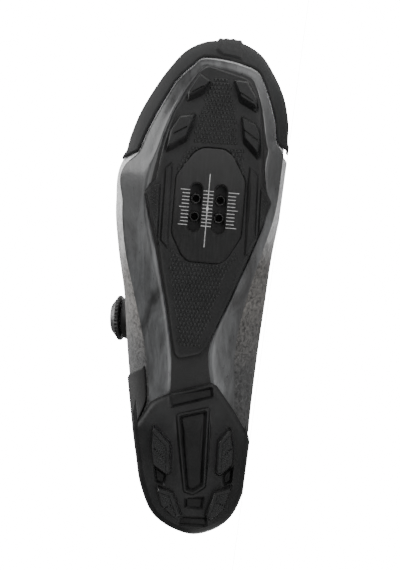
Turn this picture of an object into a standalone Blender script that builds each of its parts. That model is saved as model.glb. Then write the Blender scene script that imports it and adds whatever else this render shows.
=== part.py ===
"""Right-foot gravel cycling shoe, empty and lying on its medial side.

Everything is modelled as the shoe stands on its sole, X from heel to toe, Y towards the medial side, Z up,
and is parented to the empty resting_pose, which lays the shoe on its side with the floor at Z = 0.
"""

import math

import bmesh
import bpy
import numpy as np
from mathutils import Matrix, Vector

MM = 0.001

# Driving sizes, in metres
LAST_LENGTH = 0.2825
BALL_WIDTH = 0.0975
INSTEP_HEIGHT = 0.088
HEEL_STACK = 0.024
FOREFOOT_STACK = 0.013
TOE_SPRING = 0.021

# Upper
WALL = 2.2 * MM
COLLAR_WALL = 5.0 * MM
COLLAR_PAD_DEPTH = 22 * MM
LASTING_MARGIN = 8 * MM
SQUARENESS = 2.15
GAP = 0.3 * MM
OVERLAY_GAP = 0.45 * MM

# Overlays on the upper
GUARD_GAP = 0.8 * MM
GUARD_THICKNESS = 1.4 * MM
NUB_RISE = 1.5 * MM
COUNTER_THICKNESS = 0.9 * MM

# Tongue and insole
TONGUE_THICKNESS = 3.4 * MM
TONGUE_GAP = 1.5 * MM
TONGUE_TUCK = 11 * MM
TONGUE_TOP = 0.342
TONGUE_FRONT = 0.735
INSOLE_THICKNESS = 3.0 * MM
INSOLE_INSET = 3.6 * MM

# Sole board and treads
SOLE_LIP = 0.7 * MM
BOARD_EDGE = 2.2 * MM
BOARD_DEPTH = 6.2 * MM
TREAD_BASE = 2.0 * MM
RAIL_LUG_RISE = 0.6 * MM
WING_RISE = 1.2 * MM
CUP_TOP = 9.0 * MM
CUP_LIP = 0.9 * MM
HEEL_BASE = 8.0 * MM
RIM_RISE = 1.0 * MM
RIM_WIDTH = 1.3 * MM
PANEL_DEPTH = 1.4 * MM

# Cleat mounting, the two-bolt kind with slots 14 mm apart
SLOT_SPACING = 14.0 * MM
SLOT_WIDTH = 6.6 * MM
SLOT_LENGTH = 27.5 * MM
CLEAT_RECESS = 4.9 * MM
NUT_PITCH = 10.2 * MM
NUT_BOSS = 5.7 * MM
NUT_BORE = 4.2 * MM
NUT_BOSS_LENGTH = 3.4 * MM
NUT_PLATE = (30 * MM, 23 * MM, 1.6 * MM)
PLATE_CLEARANCE = 0.4 * MM

# Closure
DIAL_RADIUS = 13.2 * MM
DIAL_HEIGHT = 7.2 * MM
DIAL_BASE_RADIUS = 12.2 * MM
DIAL_BASE_HEIGHT = 3.4 * MM
LACE_DIAMETER = 1.3 * MM
LACE_SPACING = 3.7 * MM
LACE_LIFT = 2.4 * MM
LOOP_AT = 4.5 * MM
LOOP_BEND = 1.75 * MM
LOOP_LEG = 7.5 * MM
LOOP_WIDTH = 6.0 * MM
LOOP_WEB = 0.7 * MM
COVER_WIDTH = 6.0 * MM
COVER_THICKNESS = 2.0 * MM

# Coincident points closer than this are joined, and the height range that every cut spans
WELD = 0.002 * MM
CUT_RANGE = (-5 * MM, 60 * MM)

# How far the soft sides give where the shoe lies on the floor
PRESS = 0.7 * MM


def table(columns, rows):
    """Named columns of shares, written in per cent."""
    return {name: np.array([row[i] for row in rows]) / 100 for i, name in enumerate(columns.split())}


# Plan sections of the last. along is a share of LAST_LENGTH, the rest are shares of BALL_WIDTH.
# medial and lateral: the widest outline. edge columns: the edge of the sole board under that section.
# rail columns: how far the bevelled rail of the board reaches in from that edge.
PLAN = table(
    "along medial lateral edge_along_medial edge_medial edge_along_lateral edge_lateral rail_medial rail_lateral",
    [
        (0.0, -3.1, -3.1, 2.3, -3.1, 2.3, -3.1, 8.0, 8.0),
        (0.7, 6.0, -12.6, 2.7, 2.6, 2.7, -9.2, 8.0, 8.0),
        (3.4, 17.4, -25.6, 4.8, 12.8, 4.8, -21.5, 8.0, 8.0),
        (8.8, 24.6, -33.8, 9.6, 20.0, 9.6, -28.7, 8.0, 8.0),
        (15.8, 26.2, -38.4, 16.1, 21.0, 16.1, -32.3, 8.0, 8.5),
        (26.5, 27.6, -43.9, 26.7, 16.9, 26.7, -32.3, 12.0, 12.0),
        (37.2, 29.6, -48.5, 37.3, 15.0, 37.3, -36.9, 15.5, 15.5),
        (48.0, 32.1, -52.1, 48.0, 19.8, 48.0, -45.1, 9.7, 18.0),
        (56.9, 34.2, -57.0, 56.8, 26.7, 56.8, -51.8, 6.7, 18.0),
        (65.9, 37.6, -59.9, 65.7, 33.3, 65.7, -54.9, 5.5, 15.5),
        (74.8, 39.9, -57.2, 74.5, 35.6, 74.3, -53.1, 10.3, 16.4),
        (76.6, 40.0, -54.1, 76.3, 35.9, 76.3, -47.2, 10.3, 11.8),
        (78.0, 39.8, -52.8, 77.7, 36.1, 77.7, -45.4, 9.7, 11.3),
        (79.8, 38.0, -51.3, 79.5, 32.3, 79.5, -43.6, 7.2, 10.8),
        (84.5, 36.8, -46.7, 84.1, 29.7, 84.1, -37.9, 6.7, 9.2),
        (89.1, 33.8, -40.0, 88.3, 25.9, 88.0, -32.3, 5.6, 7.7),
        (93.9, 27.0, -31.4, 92.0, 21.8, 91.5, -26.7, 5.1, 7.2),
        (97.8, 18.6, -21.8, 94.0, 17.9, 94.5, -18.5, 5.1, 5.6),
        (99.6, 9.2, -11.4, 95.0, 10.3, 96.1, -12.8, 5.1, 5.1),
        (100.0, 0.5, 0.5, 95.8, 0.0, 95.8, 0.0, 5.1, 5.1),
    ],
)

# Side profile. heel and spring raise the top of the sole board, bulge and crown stand above it.
# heel: share of the heel's lift over the forefoot. spring: share of TOE_SPRING.
# bulge and crown: shares of INSTEP_HEIGHT. keel: the board's depth along its middle, a share of BOARD_DEPTH.
SIDE = table(
    "along heel spring bulge crown keel",
    [
        (0, 104, 0, 16, 148, 100),
        (10.6, 100, 0, 16, 148, 100),
        (21, 100, 0, 18, 143, 105),
        (32, 91, 0, 22, 121, 122),
        (42.5, 59, 0, 25.5, 100, 130),
        (53, 18, 0, 25, 85, 118),
        (64, 0, 0, 18.5, 72, 100),
        (72.5, 0, 0, 16.5, 61.5, 95),
        (79.6, 0, 9, 16, 52.5, 85),
        (86.7, 0, 28, 16.5, 44, 75),
        (92.7, 0, 54, 14, 36, 65),
        (97.3, 0, 78, 12, 30, 60),
        (101, 0, 100, 11, 28, 60),
    ],
)

# Height of the collar's edge over the sole board, a share of INSTEP_HEIGHT
COLLAR = table(
    "along height",
    [(0, 79), (5, 77), (12, 69), (20, 61), (26, 62), (31, 71), (35.5, 85), (40, 97)],
)

# The w of the rows of points on the upper: below the widest outline, and as shares of the way to its edge
LOWER_ROWS = np.array([-1.0, -0.67, -0.34])
UPPER_SHARES = np.array([0.0, 0.14, 0.29, 0.46, 0.66, 0.84, 1.0])
FINE_SHARES = np.concatenate([np.linspace(0, 0.42, 13), [0.66, 0.84, 1.0]])

# Half the throat's width, a share of BALL_WIDTH
THROAT = table("along half", [(33, 18.5), (42, 14.2), (53, 12.2), (64, 11), (71, 10.5)])
THROAT_FRONT = 0.70
THROAT_FRONT_RADIUS = 0.042

# The radial centres of the heel and toe ends, and where the crown's middle lies across the width
HEEL_CENTRE = 0.135
TOE_CENTRE = 0.85
CROWN_SHARE = 0.52

# Plan outlines of the treads, as (share of LAST_LENGTH, share of BALL_WIDTH) in per cent
TREAD_OUTLINE = [
    (94.9, -10.3), (94.0, -14.4), (88.7, -22.6), (85.1, -28.2), (81.6, -31.3), (78.1, -33.8), (74.5, -35.4),
    (71.0, -36.9), (68.3, -43.6), (63.9, -39.5), (57.9, -33.3), (53.3, -30.8), (46.2, -26.2), (39.1, -22.1),
    (35.9, -20.0), (35.0, -17.4), (36.1, -5.1), (37.3, -2.1), (42.7, 4.6), (49.7, 12.8), (56.8, 20.5),
    (62.1, 26.2), (67.6, 31.8), (71.0, 25.6), (78.1, 24.6), (85.1, 22.6), (88.7, 20.5), (91.9, 15.4),
    (92.7, 12.3),
]
PLATE_OUTLINE = [
    (77.9, -10.3), (76.8, -15.4), (72.0, -25.1), (60.4, -25.9), (56.1, -19.5), (54.9, -15.4), (54.8, 3.1),
    (55.8, 7.2), (60.4, 14.9), (71.7, 15.4), (76.6, 7.2), (77.8, 2.1),
]
CHEVRON_LUGS = [
    [(93.1, -14.9), (91.7, -8.2), (88.8, -12.3), (87.1, -21.5), (89.4, -21.0)],
    [(92.2, 5.1), (92.0, 13.3), (88.7, 19.2), (85.7, 19.5), (87.6, 9.2)],
    [(84.8, -15.9), (84.1, -25.1), (80.9, -30.3), (76.5, -31.8), (78.9, -20.5)],
    [(84.8, 10.8), (83.4, 19.5), (80.9, 22.5), (76.1, 21.8), (79.3, 12.8)],
]
RAIL_LUGS = [
    [(75.6, -30.5), (75.6, -26.6), (56.8, -26.6), (56.8, -31.6)],
    [(75.6, 16.4), (75.6, 21.5), (56.8, 19.5), (56.8, 16.4)],
]
WING_LUGS = [
    [(70.4, -30.9), (70.4, -36.4), (68.1, -42.6), (63.9, -38.6), (58.1, -32.4), (57.9, -31.2)],
    [(70.3, 21.1), (70.3, 25.6), (67.6, 30.8), (62.1, 25.4), (57.5, 20.3), (57.5, 19.8)],
]
HEEL_OUTLINE = [
    (-4, -60), (17.0, -60), (18.0, -42.0), (21.5, -39.5), (26.0, -32.3), (27.1, -27.7), (28.0, -21.5),
    (30.6, 3.1), (30.1, 6.2), (25.0, 17.9), (21.4, 24.6), (18.6, 28.5), (17.0, 60), (-4, 60),
]
BADGE_OUTLINE = [(27.6, -20.6), (29.6, 3.3), (27.8, 4.1), (25.3, -20.0)]
WINDOW_OUTLINE = [(23.5, -14.2), (24.9, 0.9), (9.9, 1.3), (8.6, -4.1), (8.9, -7.7)]
SMALL_WINDOW_OUTLINE = [(7.2, -8.0), (7.4, 2.4), (5.2, 1.6), (5.2, -7.6)]
HEEL_LUGS = [
    [(20.9, -28.7), (17.7, -19.0), (12.2, -18.3), (12.0, -20.0), (13.6, -27.0), (16.8, -28.7)],
    [(21.4, 14.9), (17.9, 17.2), (14.7, 17.4), (12.4, 11.1), (12.7, 9.4), (18.9, 9.4)],
    [(9.0, -24.1), (8.1, -15.9), (3.9, -10.8), (3.4, -13.3), (5.5, -21.0)],
    [(9.9, 17.4), (8.7, 8.7), (3.9, 4.6), (3.4, 7.2), (5.5, 13.8)],
]
HEEL_RAMP = (0.20, 0.315)
HEEL_LOFT_END = 0.36

# The heel cup's outer side: how far out of the last's outline, and share of the cup's height
CUP_SIDE = ((1.0 * MM, 0.62), (0.7 * MM, 0.25), (-0.4 * MM, 0.07), (-2.6 * MM, 0.0))

# The cleat slots' middle, in the same shares, and their turn from the shoe's axis
CLEAT_CENTRE = (65.8, -5.8)
CLEAT_TURN = math.radians(1.4)

# Toe guard: its ends on the two sides, its height on the wall, and the nub at the front
GUARD_MEDIAL_END = 0.780
GUARD_LATERAL_END = 0.766
GUARD_LOW = -0.94
GUARD_TOP = 0.34
GUARD_TAPER = 26 * MM
GUARD_SLANT = 5 * MM
NUB_SIDES = (-5.2, 8.2)

# Heel counter: its ends on the two sides and its height on the wall, a share of the way to the collar
COUNTER_MEDIAL_END = 0.185
COUNTER_LATERAL_END = 0.305
COUNTER_TOP = 0.74
COUNTER_SLANT = 8 * MM
COUNTER_STEPS = (0.285, 0.268, 0.250, 0.232, 0.215)
OVER_COUNTER = OVERLAY_GAP + COUNTER_THICKNESS

# Dial and lace. DIAL_AT: share of the length, share of the wall's height. Loops: shares of the length.
DIAL_AT = (0.425, 0.20)
MEDIAL_LOOPS = (0.43, 0.53, 0.63)
LATERAL_LOOPS = (0.48, 0.58)

# The cable cover's middle line: share of the length, metres below the throat's edge
COVER_ROUTE = ((0.665, 0.0045), (0.655, 0.011), (0.63, 0.0165), (0.57, 0.0195), (0.51, 0.026), (0.475, 0.035))

# Where the shoe's weight acts, seen from its side: shares of LAST_LENGTH and INSTEP_HEIGHT
BALANCE = (0.47, 0.35)

MATERIALS = {
    "upper_textile": ((0.42, 0.40, 0.38), 0.62, 0.0),
    "black_film": ((0.030, 0.031, 0.033), 0.55, 0.0),
    "lining": ((0.025, 0.025, 0.027), 0.90, 0.0),
    "sole_composite": ((0.105, 0.108, 0.113), 0.38, 0.1),
    "tread_rubber": ((0.022, 0.022, 0.023), 0.62, 0.0),
    "cleat_insert": ((0.028, 0.029, 0.031), 0.45, 0.0),
    "nut_steel": ((0.10, 0.10, 0.11), 0.40, 0.9),
    "dial_plastic": ((0.030, 0.031, 0.034), 0.35, 0.0),
    "lace_cable": ((0.05, 0.05, 0.055), 0.40, 0.2),
}


def smooth(knots, values, at):
    """A smooth curve through values at knots, by cubics whose slopes come from the three nearest points."""
    step = np.diff(knots)
    slope = np.diff(values) / step
    tangent = np.empty(len(knots))
    tangent[1:-1] = (slope[:-1] * step[1:] + slope[1:] * step[:-1]) / (step[1:] + step[:-1])
    tangent[0], tangent[-1] = slope[0], slope[-1]
    i = np.clip(np.searchsorted(knots, at, side="right") - 1, 0, len(step) - 1)
    q = (at - knots[i]) / step[i]
    return (
        values[i] * (1 + 2 * q) * (1 - q) ** 2
        + values[i + 1] * q * q * (3 - 2 * q)
        + step[i] * tangent[i] * q * (1 - q) ** 2
        - step[i] * tangent[i + 1] * q * q * (1 - q)
    )


def section_knots():
    """One knot for each row of PLAN, spaced as the outline's chords are on the mean of both sides."""
    along = np.diff(PLAN["along"]) * LAST_LENGTH
    across = np.diff(PLAN["medial"] - PLAN["lateral"]) / 2 * BALL_WIDTH
    return np.concatenate([[0], np.cumsum(np.hypot(along, across))])


KNOTS = section_knots()
TURN = KNOTS[-1]


def around(medial, lateral, t):
    """A closed smooth curve: the medial rows from heel to toe at t = 0 to TURN, the lateral rows back to 2 TURN."""
    ring = np.concatenate([medial, lateral[-2:0:-1]])
    knots = np.concatenate([KNOTS, 2 * TURN - KNOTS[-2:0:-1]])
    ring = np.concatenate([ring[-2:], ring, ring[:2]])
    knots = np.concatenate([knots[-2:] - 2 * TURN, knots, knots[:2] + 2 * TURN])
    return smooth(knots, ring, np.mod(t, 2 * TURN))


def side(column, x):
    return smooth(SIDE["along"] * LAST_LENGTH, SIDE[column], x)


def board(x):
    """Height of the sole board's top."""
    lift = (HEEL_STACK - FOREFOOT_STACK) * side("heel", x)
    return FOREFOOT_STACK + lift + TOE_SPRING * side("spring", x)


def outline(t):
    """The last's widest outline in plan."""
    x = around(PLAN["along"], PLAN["along"], t) * LAST_LENGTH
    return x, around(PLAN["medial"], PLAN["lateral"], t) * BALL_WIDTH


def sole_edge(t, lip=0.0):
    """The edge of the sole board in plan, grown by lip away from the middle line."""
    x = around(PLAN["edge_along_medial"], PLAN["edge_along_lateral"], t) * LAST_LENGTH
    y = around(PLAN["edge_medial"], PLAN["edge_lateral"], t) * BALL_WIDTH
    middle_x, middle_y = middle(t)
    far = np.hypot(x - middle_x, y - middle_y)
    return x + (x - middle_x) / far * lip, y + (y - middle_y) / far * lip


def middle(t):
    """The middle line in plan, which every section of the last and sole runs to."""
    x, _ = outline(t)
    x = np.clip(x, HEEL_CENTRE * LAST_LENGTH, TOE_CENTRE * LAST_LENGTH)
    at = t_at(x)
    _, medial = outline(at)
    _, lateral = outline(2 * TURN - at)
    return x, lateral + (medial - lateral) * CROWN_SHARE


def t_at(x):
    """The medial t whose section lies at x."""
    fine = np.linspace(0, TURN, 6001)
    return np.interp(x, around(PLAN["along"], PLAN["along"], fine) * LAST_LENGTH, fine)


def crown(x):
    return board(x) + INSTEP_HEIGHT * side("crown", x)


def wall(t, w):
    """The last's outer surface: w = -1 at the sole board's edge, 0 at the widest outline, 1 on the crown line."""
    t, w = np.broadcast_arrays(np.asarray(t, float), np.asarray(w, float))
    x, y = outline(t)
    edge_x, edge_y = sole_edge(t)
    middle_x, middle_y = middle(t)
    low, wide = board(edge_x) + GAP, board(x) + INSTEP_HEIGHT * side("bulge", x)
    k = np.clip(-w, 0, None)
    angle = np.clip(w, 0, 1) * math.pi / 2
    out = np.clip(np.cos(angle), 0, 1) ** (2 / SQUARENESS)
    up = np.sin(angle) ** (2 / SQUARENESS)
    step = 0.5 * MM
    fall = (crown(middle_x + step) - crown(middle_x - step)) / (2 * step)
    toe_x = np.clip(middle_x + (x - middle_x) * out - middle_x, 0, None)
    upper = np.stack(
        [
            middle_x + (x - middle_x) * out,
            middle_y + (y - middle_y) * out,
            wide + (crown(middle_x) - wide) * up + fall * toe_x * up,
        ],
        -1,
    )
    lower = np.stack(
        [x + (edge_x - x) * k**2, y + (edge_y - y) * k**2, wide - (wide - low) * k],
        -1,
    )
    return np.where((w < 0)[..., None], lower, upper)


def wall_normal(t, w):
    t, w = np.broadcast_arrays(np.asarray(t, float), np.asarray(w, float))
    dt, dw = 0.4 * MM, 0.004
    above = np.clip(w + dw, None, 0.995)
    along = wall(t + dt, np.clip(w, None, 0.99)) - wall(t - dt, np.clip(w, None, 0.99))
    normal = np.cross(wall(t, above) - wall(t, above - 2 * dw), along)
    middle_x, _ = middle(t)
    step = 0.5 * MM
    fall = (crown(middle_x + step) - crown(middle_x - step)) / (2 * step)
    top = np.stack([-fall, np.zeros_like(fall), np.ones_like(fall)], -1)
    normal = np.where((w > 0.995)[..., None], top, normal)
    return normal / np.linalg.norm(normal, axis=-1, keepdims=True)


def off_wall(t, w, distance):
    return wall(t, w) + wall_normal(t, w) * np.asarray(distance)[..., None]


def throat_half(x):
    """Half the throat's width at x, closing in a round end."""
    start = (THROAT_FRONT - THROAT_FRONT_RADIUS) * LAST_LENGTH
    past = np.clip((x - start) / (THROAT_FRONT_RADIUS * LAST_LENGTH), 0, 1)
    return smooth(THROAT["along"] * LAST_LENGTH, THROAT["half"], x) * BALL_WIDTH * np.sqrt(1 - past**2)


def top_edge(t):
    """The w where the upper ends: at the collar, at the throat, or 1 where it closes over the toes."""
    x, y = outline(t)
    middle_x, middle_y = middle(t)
    wide = board(x) + INSTEP_HEIGHT * side("bulge", x)
    rim = board(x) + INSTEP_HEIGHT * smooth(COLLAR["along"] * LAST_LENGTH, COLLAR["height"], x)
    up = np.clip((rim - wide) / (crown(middle_x) - wide), 0, 1)
    collar = np.arcsin(up ** (SQUARENESS / 2)) * 2 / math.pi
    out = np.clip(throat_half(x) / np.hypot(x - middle_x, y - middle_y), 0, 1)
    throat = np.arccos(out ** (SQUARENESS / 2)) * 2 / math.pi
    beyond_collar = x > COLLAR["along"][-1] * LAST_LENGTH
    return np.where(beyond_collar, throat, np.minimum(collar, throat))


def column_stations(longest=19 * MM):
    """The t of every column: the rows of PLAN, steps between them, and more round the throat's two ends."""
    medial = []
    for a, b in zip(KNOTS[:-1], KNOTS[1:]):
        count = math.ceil((b - a) / longest)
        medial.extend(a + (b - a) * np.arange(count) / count)
    medial = np.array(medial)
    front = THROAT_FRONT - THROAT_FRONT_RADIUS * np.array([1.0, 0.62, 0.30, 0.10, 0.0])
    corner = np.array([0.335, 0.352, 0.37, 0.39])
    extra = t_at(np.concatenate([front, corner]) * LAST_LENGTH)
    medial = medial[np.abs(medial[:, None] - extra).min(1) > 3 * MM]
    medial = np.sort(np.concatenate([medial, extra]))
    return np.concatenate([medial, [TURN], 2 * TURN - medial[:0:-1]])


COLUMNS = column_stations()


def stretch(first, last, *more):
    """The columns between two stations, with both stations and any more given ones among them."""
    ends = np.array([first, last, *more])
    inner = COLUMNS[(COLUMNS > first) & (COLUMNS < last)]
    inner = inner[np.abs(inner[:, None] - ends).min(1) > 0.8 * MM]
    return np.sort(np.concatenate([inner, ends]))


def ramp(start, end, at):
    """Rises smoothly from 0 at start to 1 at end."""
    share = np.clip((at - start) / (end - start), 0, 1)
    return share * share * (3 - 2 * share)


def new_object(name, mesh, collection=None):
    data = bpy.data.meshes.new(name)
    mesh.to_mesh(data)
    mesh.free()
    made = bpy.data.objects.new(name, data)
    (collection or SHOE).objects.link(made)
    return made


def add_faces(mesh, grid, closed, turn=None):
    """Triangles over a grid of vertices, one list for each column. From row turn on the diagonals run the
    other way, so that both sides of a folded path match the pieces that lie along them."""
    count = len(grid)
    for i in range(count if closed else count - 1):
        a, b = grid[i], grid[(i + 1) % count]
        for j in range(len(a) - 1):
            if turn is not None and j >= turn:
                pairs = ((a[j], b[j], a[j + 1]), (b[j], b[j + 1], a[j + 1]))
            else:
                pairs = ((a[j], b[j], b[j + 1]), (a[j], b[j + 1], a[j + 1]))
            for corners in pairs:
                mesh.faces.new(corners)


def loft(name, paths, turn=None, collection=None, closed=True):
    """A closed solid, lofted round the shoe through one path for each column. Every path starts and ends on
    the middle line, where the paths of the two sides meet. A loft that isn't closed gets end faces."""
    mesh = bmesh.new()
    grid = [[mesh.verts.new(point) for point in path] for path in paths]
    add_faces(mesh, grid, closed, turn)
    if not closed:
        mesh.faces.new(grid[0])
        mesh.faces.new(grid[-1])
    bmesh.ops.remove_doubles(mesh, verts=mesh.verts, dist=WELD)
    bmesh.ops.recalc_face_normals(mesh, faces=mesh.faces)
    return new_object(name, mesh, collection)


def shell(name, paths, thickness, closed=False, offset=1, share=None, reverse=True):
    """An open surface through the paths, given its thickness by Solidify: outward for an offset of 1, inward
    for -1. share scales the thickness point by point."""
    mesh = bmesh.new()
    layer = mesh.verts.layers.float.new("share")
    grid = []
    for i, path in enumerate(paths):
        column = []
        for j, point in enumerate(path):
            vertex = mesh.verts.new(point)
            vertex[layer] = 1.0 if share is None else share[i][j]
            column.append(vertex)
        grid.append(column)
    add_faces(mesh, grid, closed)
    bmesh.ops.remove_doubles(mesh, verts=mesh.verts, dist=WELD)
    if reverse:
        bmesh.ops.reverse_faces(mesh, faces=mesh.faces)
    weights = [v[layer] for v in mesh.verts]
    made = new_object(name, mesh)
    modifier = made.modifiers.new("thickness", "SOLIDIFY")
    modifier.thickness = thickness
    modifier.offset = offset
    modifier.use_even_offset = True
    if share is not None:
        group = made.vertex_groups.new(name="thickness")
        for index, weight in enumerate(weights):
            group.add([index], float(weight), "REPLACE")
        modifier.vertex_group = group.name
    return made


def plan(points):
    """Plan points in metres from shares of length and width in per cent."""
    return [(a / 100 * LAST_LENGTH, c / 100 * BALL_WIDTH) for a, c in points]


def stadium(centre, length, width, turn, steps=6):
    """The outline of a slot with round ends."""
    radius = width / 2
    reach = length / 2 - radius
    points = []
    for side_of, start in ((1, -90), (-1, 90)):
        for i in range(steps + 1):
            angle = math.radians(start + 180 * i / steps)
            points.append((side_of * reach + radius * math.cos(angle), radius * math.sin(angle)))
    turned = [Matrix.Rotation(turn, 2) @ Vector(p) for p in points]
    return [(centre[0] + p.x, centre[1] + p.y) for p in turned]


def grown(points, distance):
    """A plan polygon with each side moved out by distance."""
    corners = [Vector(p) for p in points]
    area = sum(p.x * q.y - q.x * p.y for p, q in zip(corners, corners[1:] + corners[:1]))
    turn = 1 if area > 0 else -1
    made = []
    for before, here, after in zip(corners[-1:] + corners[:-1], corners, corners[1:] + corners[:1]):
        first = (here - before).normalized()
        second = (after - here).normalized()
        out_first = Vector((first.y, -first.x)) * turn
        out_second = Vector((second.y, -second.x)) * turn
        bisector = (out_first + out_second).normalized()
        moved = here + bisector * distance / max(0.35, bisector.dot(out_first))
        made.append((moved.x, moved.y))
    return made


def prism(name, outlines, low, high):
    """Plan outlines extruded from low to high, for cutting and joining."""
    mesh = bmesh.new()
    for points in outlines:
        face = mesh.faces.new([mesh.verts.new((x, y, low)) for x, y in points])
        pulled = bmesh.ops.extrude_face_region(mesh, geom=[face])
        top = [item for item in pulled["geom"] if isinstance(item, bmesh.types.BMVert)]
        bmesh.ops.translate(mesh, verts=top, vec=(0, 0, high - low))
    bmesh.ops.recalc_face_normals(mesh, faces=mesh.faces)
    return new_object(name, mesh, CUTTERS)


def combine(target, operation, tool):
    """Adds a Boolean with tool, which is kept in the cutters' collection."""
    modifier = target.modifiers.new(operation.lower(), "BOOLEAN")
    modifier.operation = operation
    modifier.object = tool
    modifier.solver = "EXACT"
    tool.hide_render = True
    tool.display_type = "WIRE"
    return target


def board_points(t):
    """Plan points of the board's rows from its edge in to the middle line, and how deep the board is there."""
    edge_x, edge_y = sole_edge(t, SOLE_LIP)
    middle_x, middle_y = middle(t)
    whole = np.hypot(edge_x - middle_x, edge_y - middle_y)
    rail = around(PLAN["rail_medial"], PLAN["rail_lateral"], t) * BALL_WIDTH
    depths = np.stack([0 * rail, 0.5 * rail, rail, rail + (whole - rail) * 0.45, whole], -1)
    share = depths / whole[:, None]
    x = edge_x[:, None] + (middle_x - edge_x)[:, None] * share
    y = edge_y[:, None] + (middle_y - edge_y)[:, None] * share
    bevel = 1 - (1 - np.clip(depths / rail[:, None], 0, 1)) ** 1.4
    keel = BOARD_DEPTH * side("keel", x)
    return x, y, BOARD_EDGE + (keel - BOARD_EDGE) * bevel


def folded(x, y, top, bottom):
    """A path for each column: out along the top from the middle line, round the edge, back along the bottom."""
    out = np.stack([x, y, top], -1)[:, ::-1]
    back = np.stack([x, y, bottom], -1)
    return np.concatenate([out, back], 1)


def under_board(name, high, low, collection):
    """A form under the sole board, from high(x, under) down to low(x, under), under being the board's underside."""
    x, y, depth = board_points(COLUMNS)
    under = board(x) - depth
    return loft(name, folded(x, y, high(x, under), low(x, under)), x.shape[1], collection)


def upper_rows(end, shares=UPPER_SHARES):
    """The w of each row of points for columns that end at the given w."""
    lower = np.broadcast_to(LOWER_ROWS, (len(end), len(LOWER_ROWS)))
    return np.concatenate([lower, end[:, None] * shares], 1)


def last_form(name, offset):
    """The closed last, grown by offset: the form that what sits on the upper is fitted to."""
    rows = upper_rows(np.ones_like(COLUMNS), FINE_SHARES)
    skin = off_wall(COLUMNS[:, None], rows, np.full(rows.shape, offset))
    x, y = middle(COLUMNS)
    floor = np.stack([x, y, board(x) - offset], -1)[:, None]
    return loft(name, np.concatenate([skin[:, ::-1], floor], 1), None, CUTTERS)


def heel_base(x):
    """Depth of the heel tread's body, which thins towards the arch."""
    return HEEL_BASE - (HEEL_BASE - 2.2 * MM) * ramp(HEEL_RAMP[0], HEEL_RAMP[1], x / LAST_LENGTH)


def cup_paths(t):
    """Sections of the heel tread, from the middle line out under the board, up round its edge as a thin cup
    against the upper, down the outer side and back in along the underside."""
    x, y, depth = board_points(t)
    top = np.stack([x, y, board(x) - depth - GAP], -1)[:, ::-1]
    edge_x, edge_y = sole_edge(t, SOLE_LIP + GAP)
    low_corner = np.stack([edge_x, edge_y, board(edge_x) - BOARD_EDGE - GAP], -1)[:, None]
    high_corner = np.stack([edge_x, edge_y, board(edge_x) + 0.6 * MM], -1)[:, None]
    out_x, out_y = outline(t)
    wide = INSTEP_HEIGHT * side("bulge", out_x)
    rise = CUP_TOP * (1 - 0.45 * ramp(0.08, 0.17, out_x / LAST_LENGTH))
    rim = -(1 - rise / wide)
    rows = np.stack([-0.90 + 0 * rim, -0.75 + 0 * rim, (rim - 0.75) / 2, rim], -1)
    inner = off_wall(t[:, None], rows, np.full(rows.shape, GAP))
    lip = off_wall(t, rim, np.full(rim.shape, GAP + CUP_LIP))[:, None]
    middle_x, middle_y = middle(t)
    far = np.hypot(out_x - middle_x, out_y - middle_y)
    unit_x, unit_y = (out_x - middle_x) / far, (out_y - middle_y) / far
    low = board(out_x) - depth[:, -1] - GAP - heel_base(out_x)
    tall = board(out_x) + rise - low
    outer = [
        np.stack([out_x + unit_x * reach, out_y + unit_y * reach, low + tall * share], -1)
        for reach, share in CUP_SIDE
    ]
    under = np.stack([x, y, board(x) - depth[:, -1:] - GAP - heel_base(x)], -1)[:, 1:]
    return np.concatenate([top, low_corner, high_corner, inner, lip, np.stack(outer, 1), under], 1)


def covered(t):
    """The depth of the overlays that lie on the upper at its medial side."""
    x = outline(t)[0] / LAST_LENGTH
    counter = (COUNTER_THICKNESS + 2 * OVERLAY_GAP) * (1 - ramp(COUNTER_MEDIAL_END + 0.01, 0.24, x))
    guard = (GUARD_THICKNESS + 1.6 * GUARD_GAP) * ramp(0.74, GUARD_MEDIAL_END - 0.02, x)
    return counter + guard


def limited(points, below):
    """Points held below the floor plane by the thickness that lies on them."""
    made = np.array(points)
    made[..., 1] = np.minimum(made[..., 1], floor_limit(made) - below)
    return made


def floor_limit(points):
    """The y of the floor plane, pressed into the shoe's soft side, at the given points."""
    return FLOOR[0] - PRESS + FLOOR[1] * points[..., 0] + FLOOR[2] * points[..., 2]


def floor_under(points):
    """The plane y = a + b x + c z that the medial side rests on: of the planes that no point is beyond, the
    one closest to the shoe at its balance point."""
    x = points[:, 0] - BALANCE[0] * LAST_LENGTH
    z = points[:, 2] - BALANCE[1] * INSTEP_HEIGHT

    def reach(b, c):
        return (points[:, 1] - b * x - c * z).max()

    def least(value, low=-0.4, high=0.4, steps=48):
        for _ in range(steps):
            third = (high - low) / 3
            if value(low + third) < value(high - third):
                high -= third
            else:
                low += third
        return (low + high) / 2

    def best_b(c):
        return least(lambda b: reach(b, c))

    c = least(lambda value: reach(best_b(value), value))
    b = best_b(c)
    height = reach(b, c) - b * BALANCE[0] * LAST_LENGTH - c * BALANCE[1] * INSTEP_HEIGHT
    return np.array([height, b, c])


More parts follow.
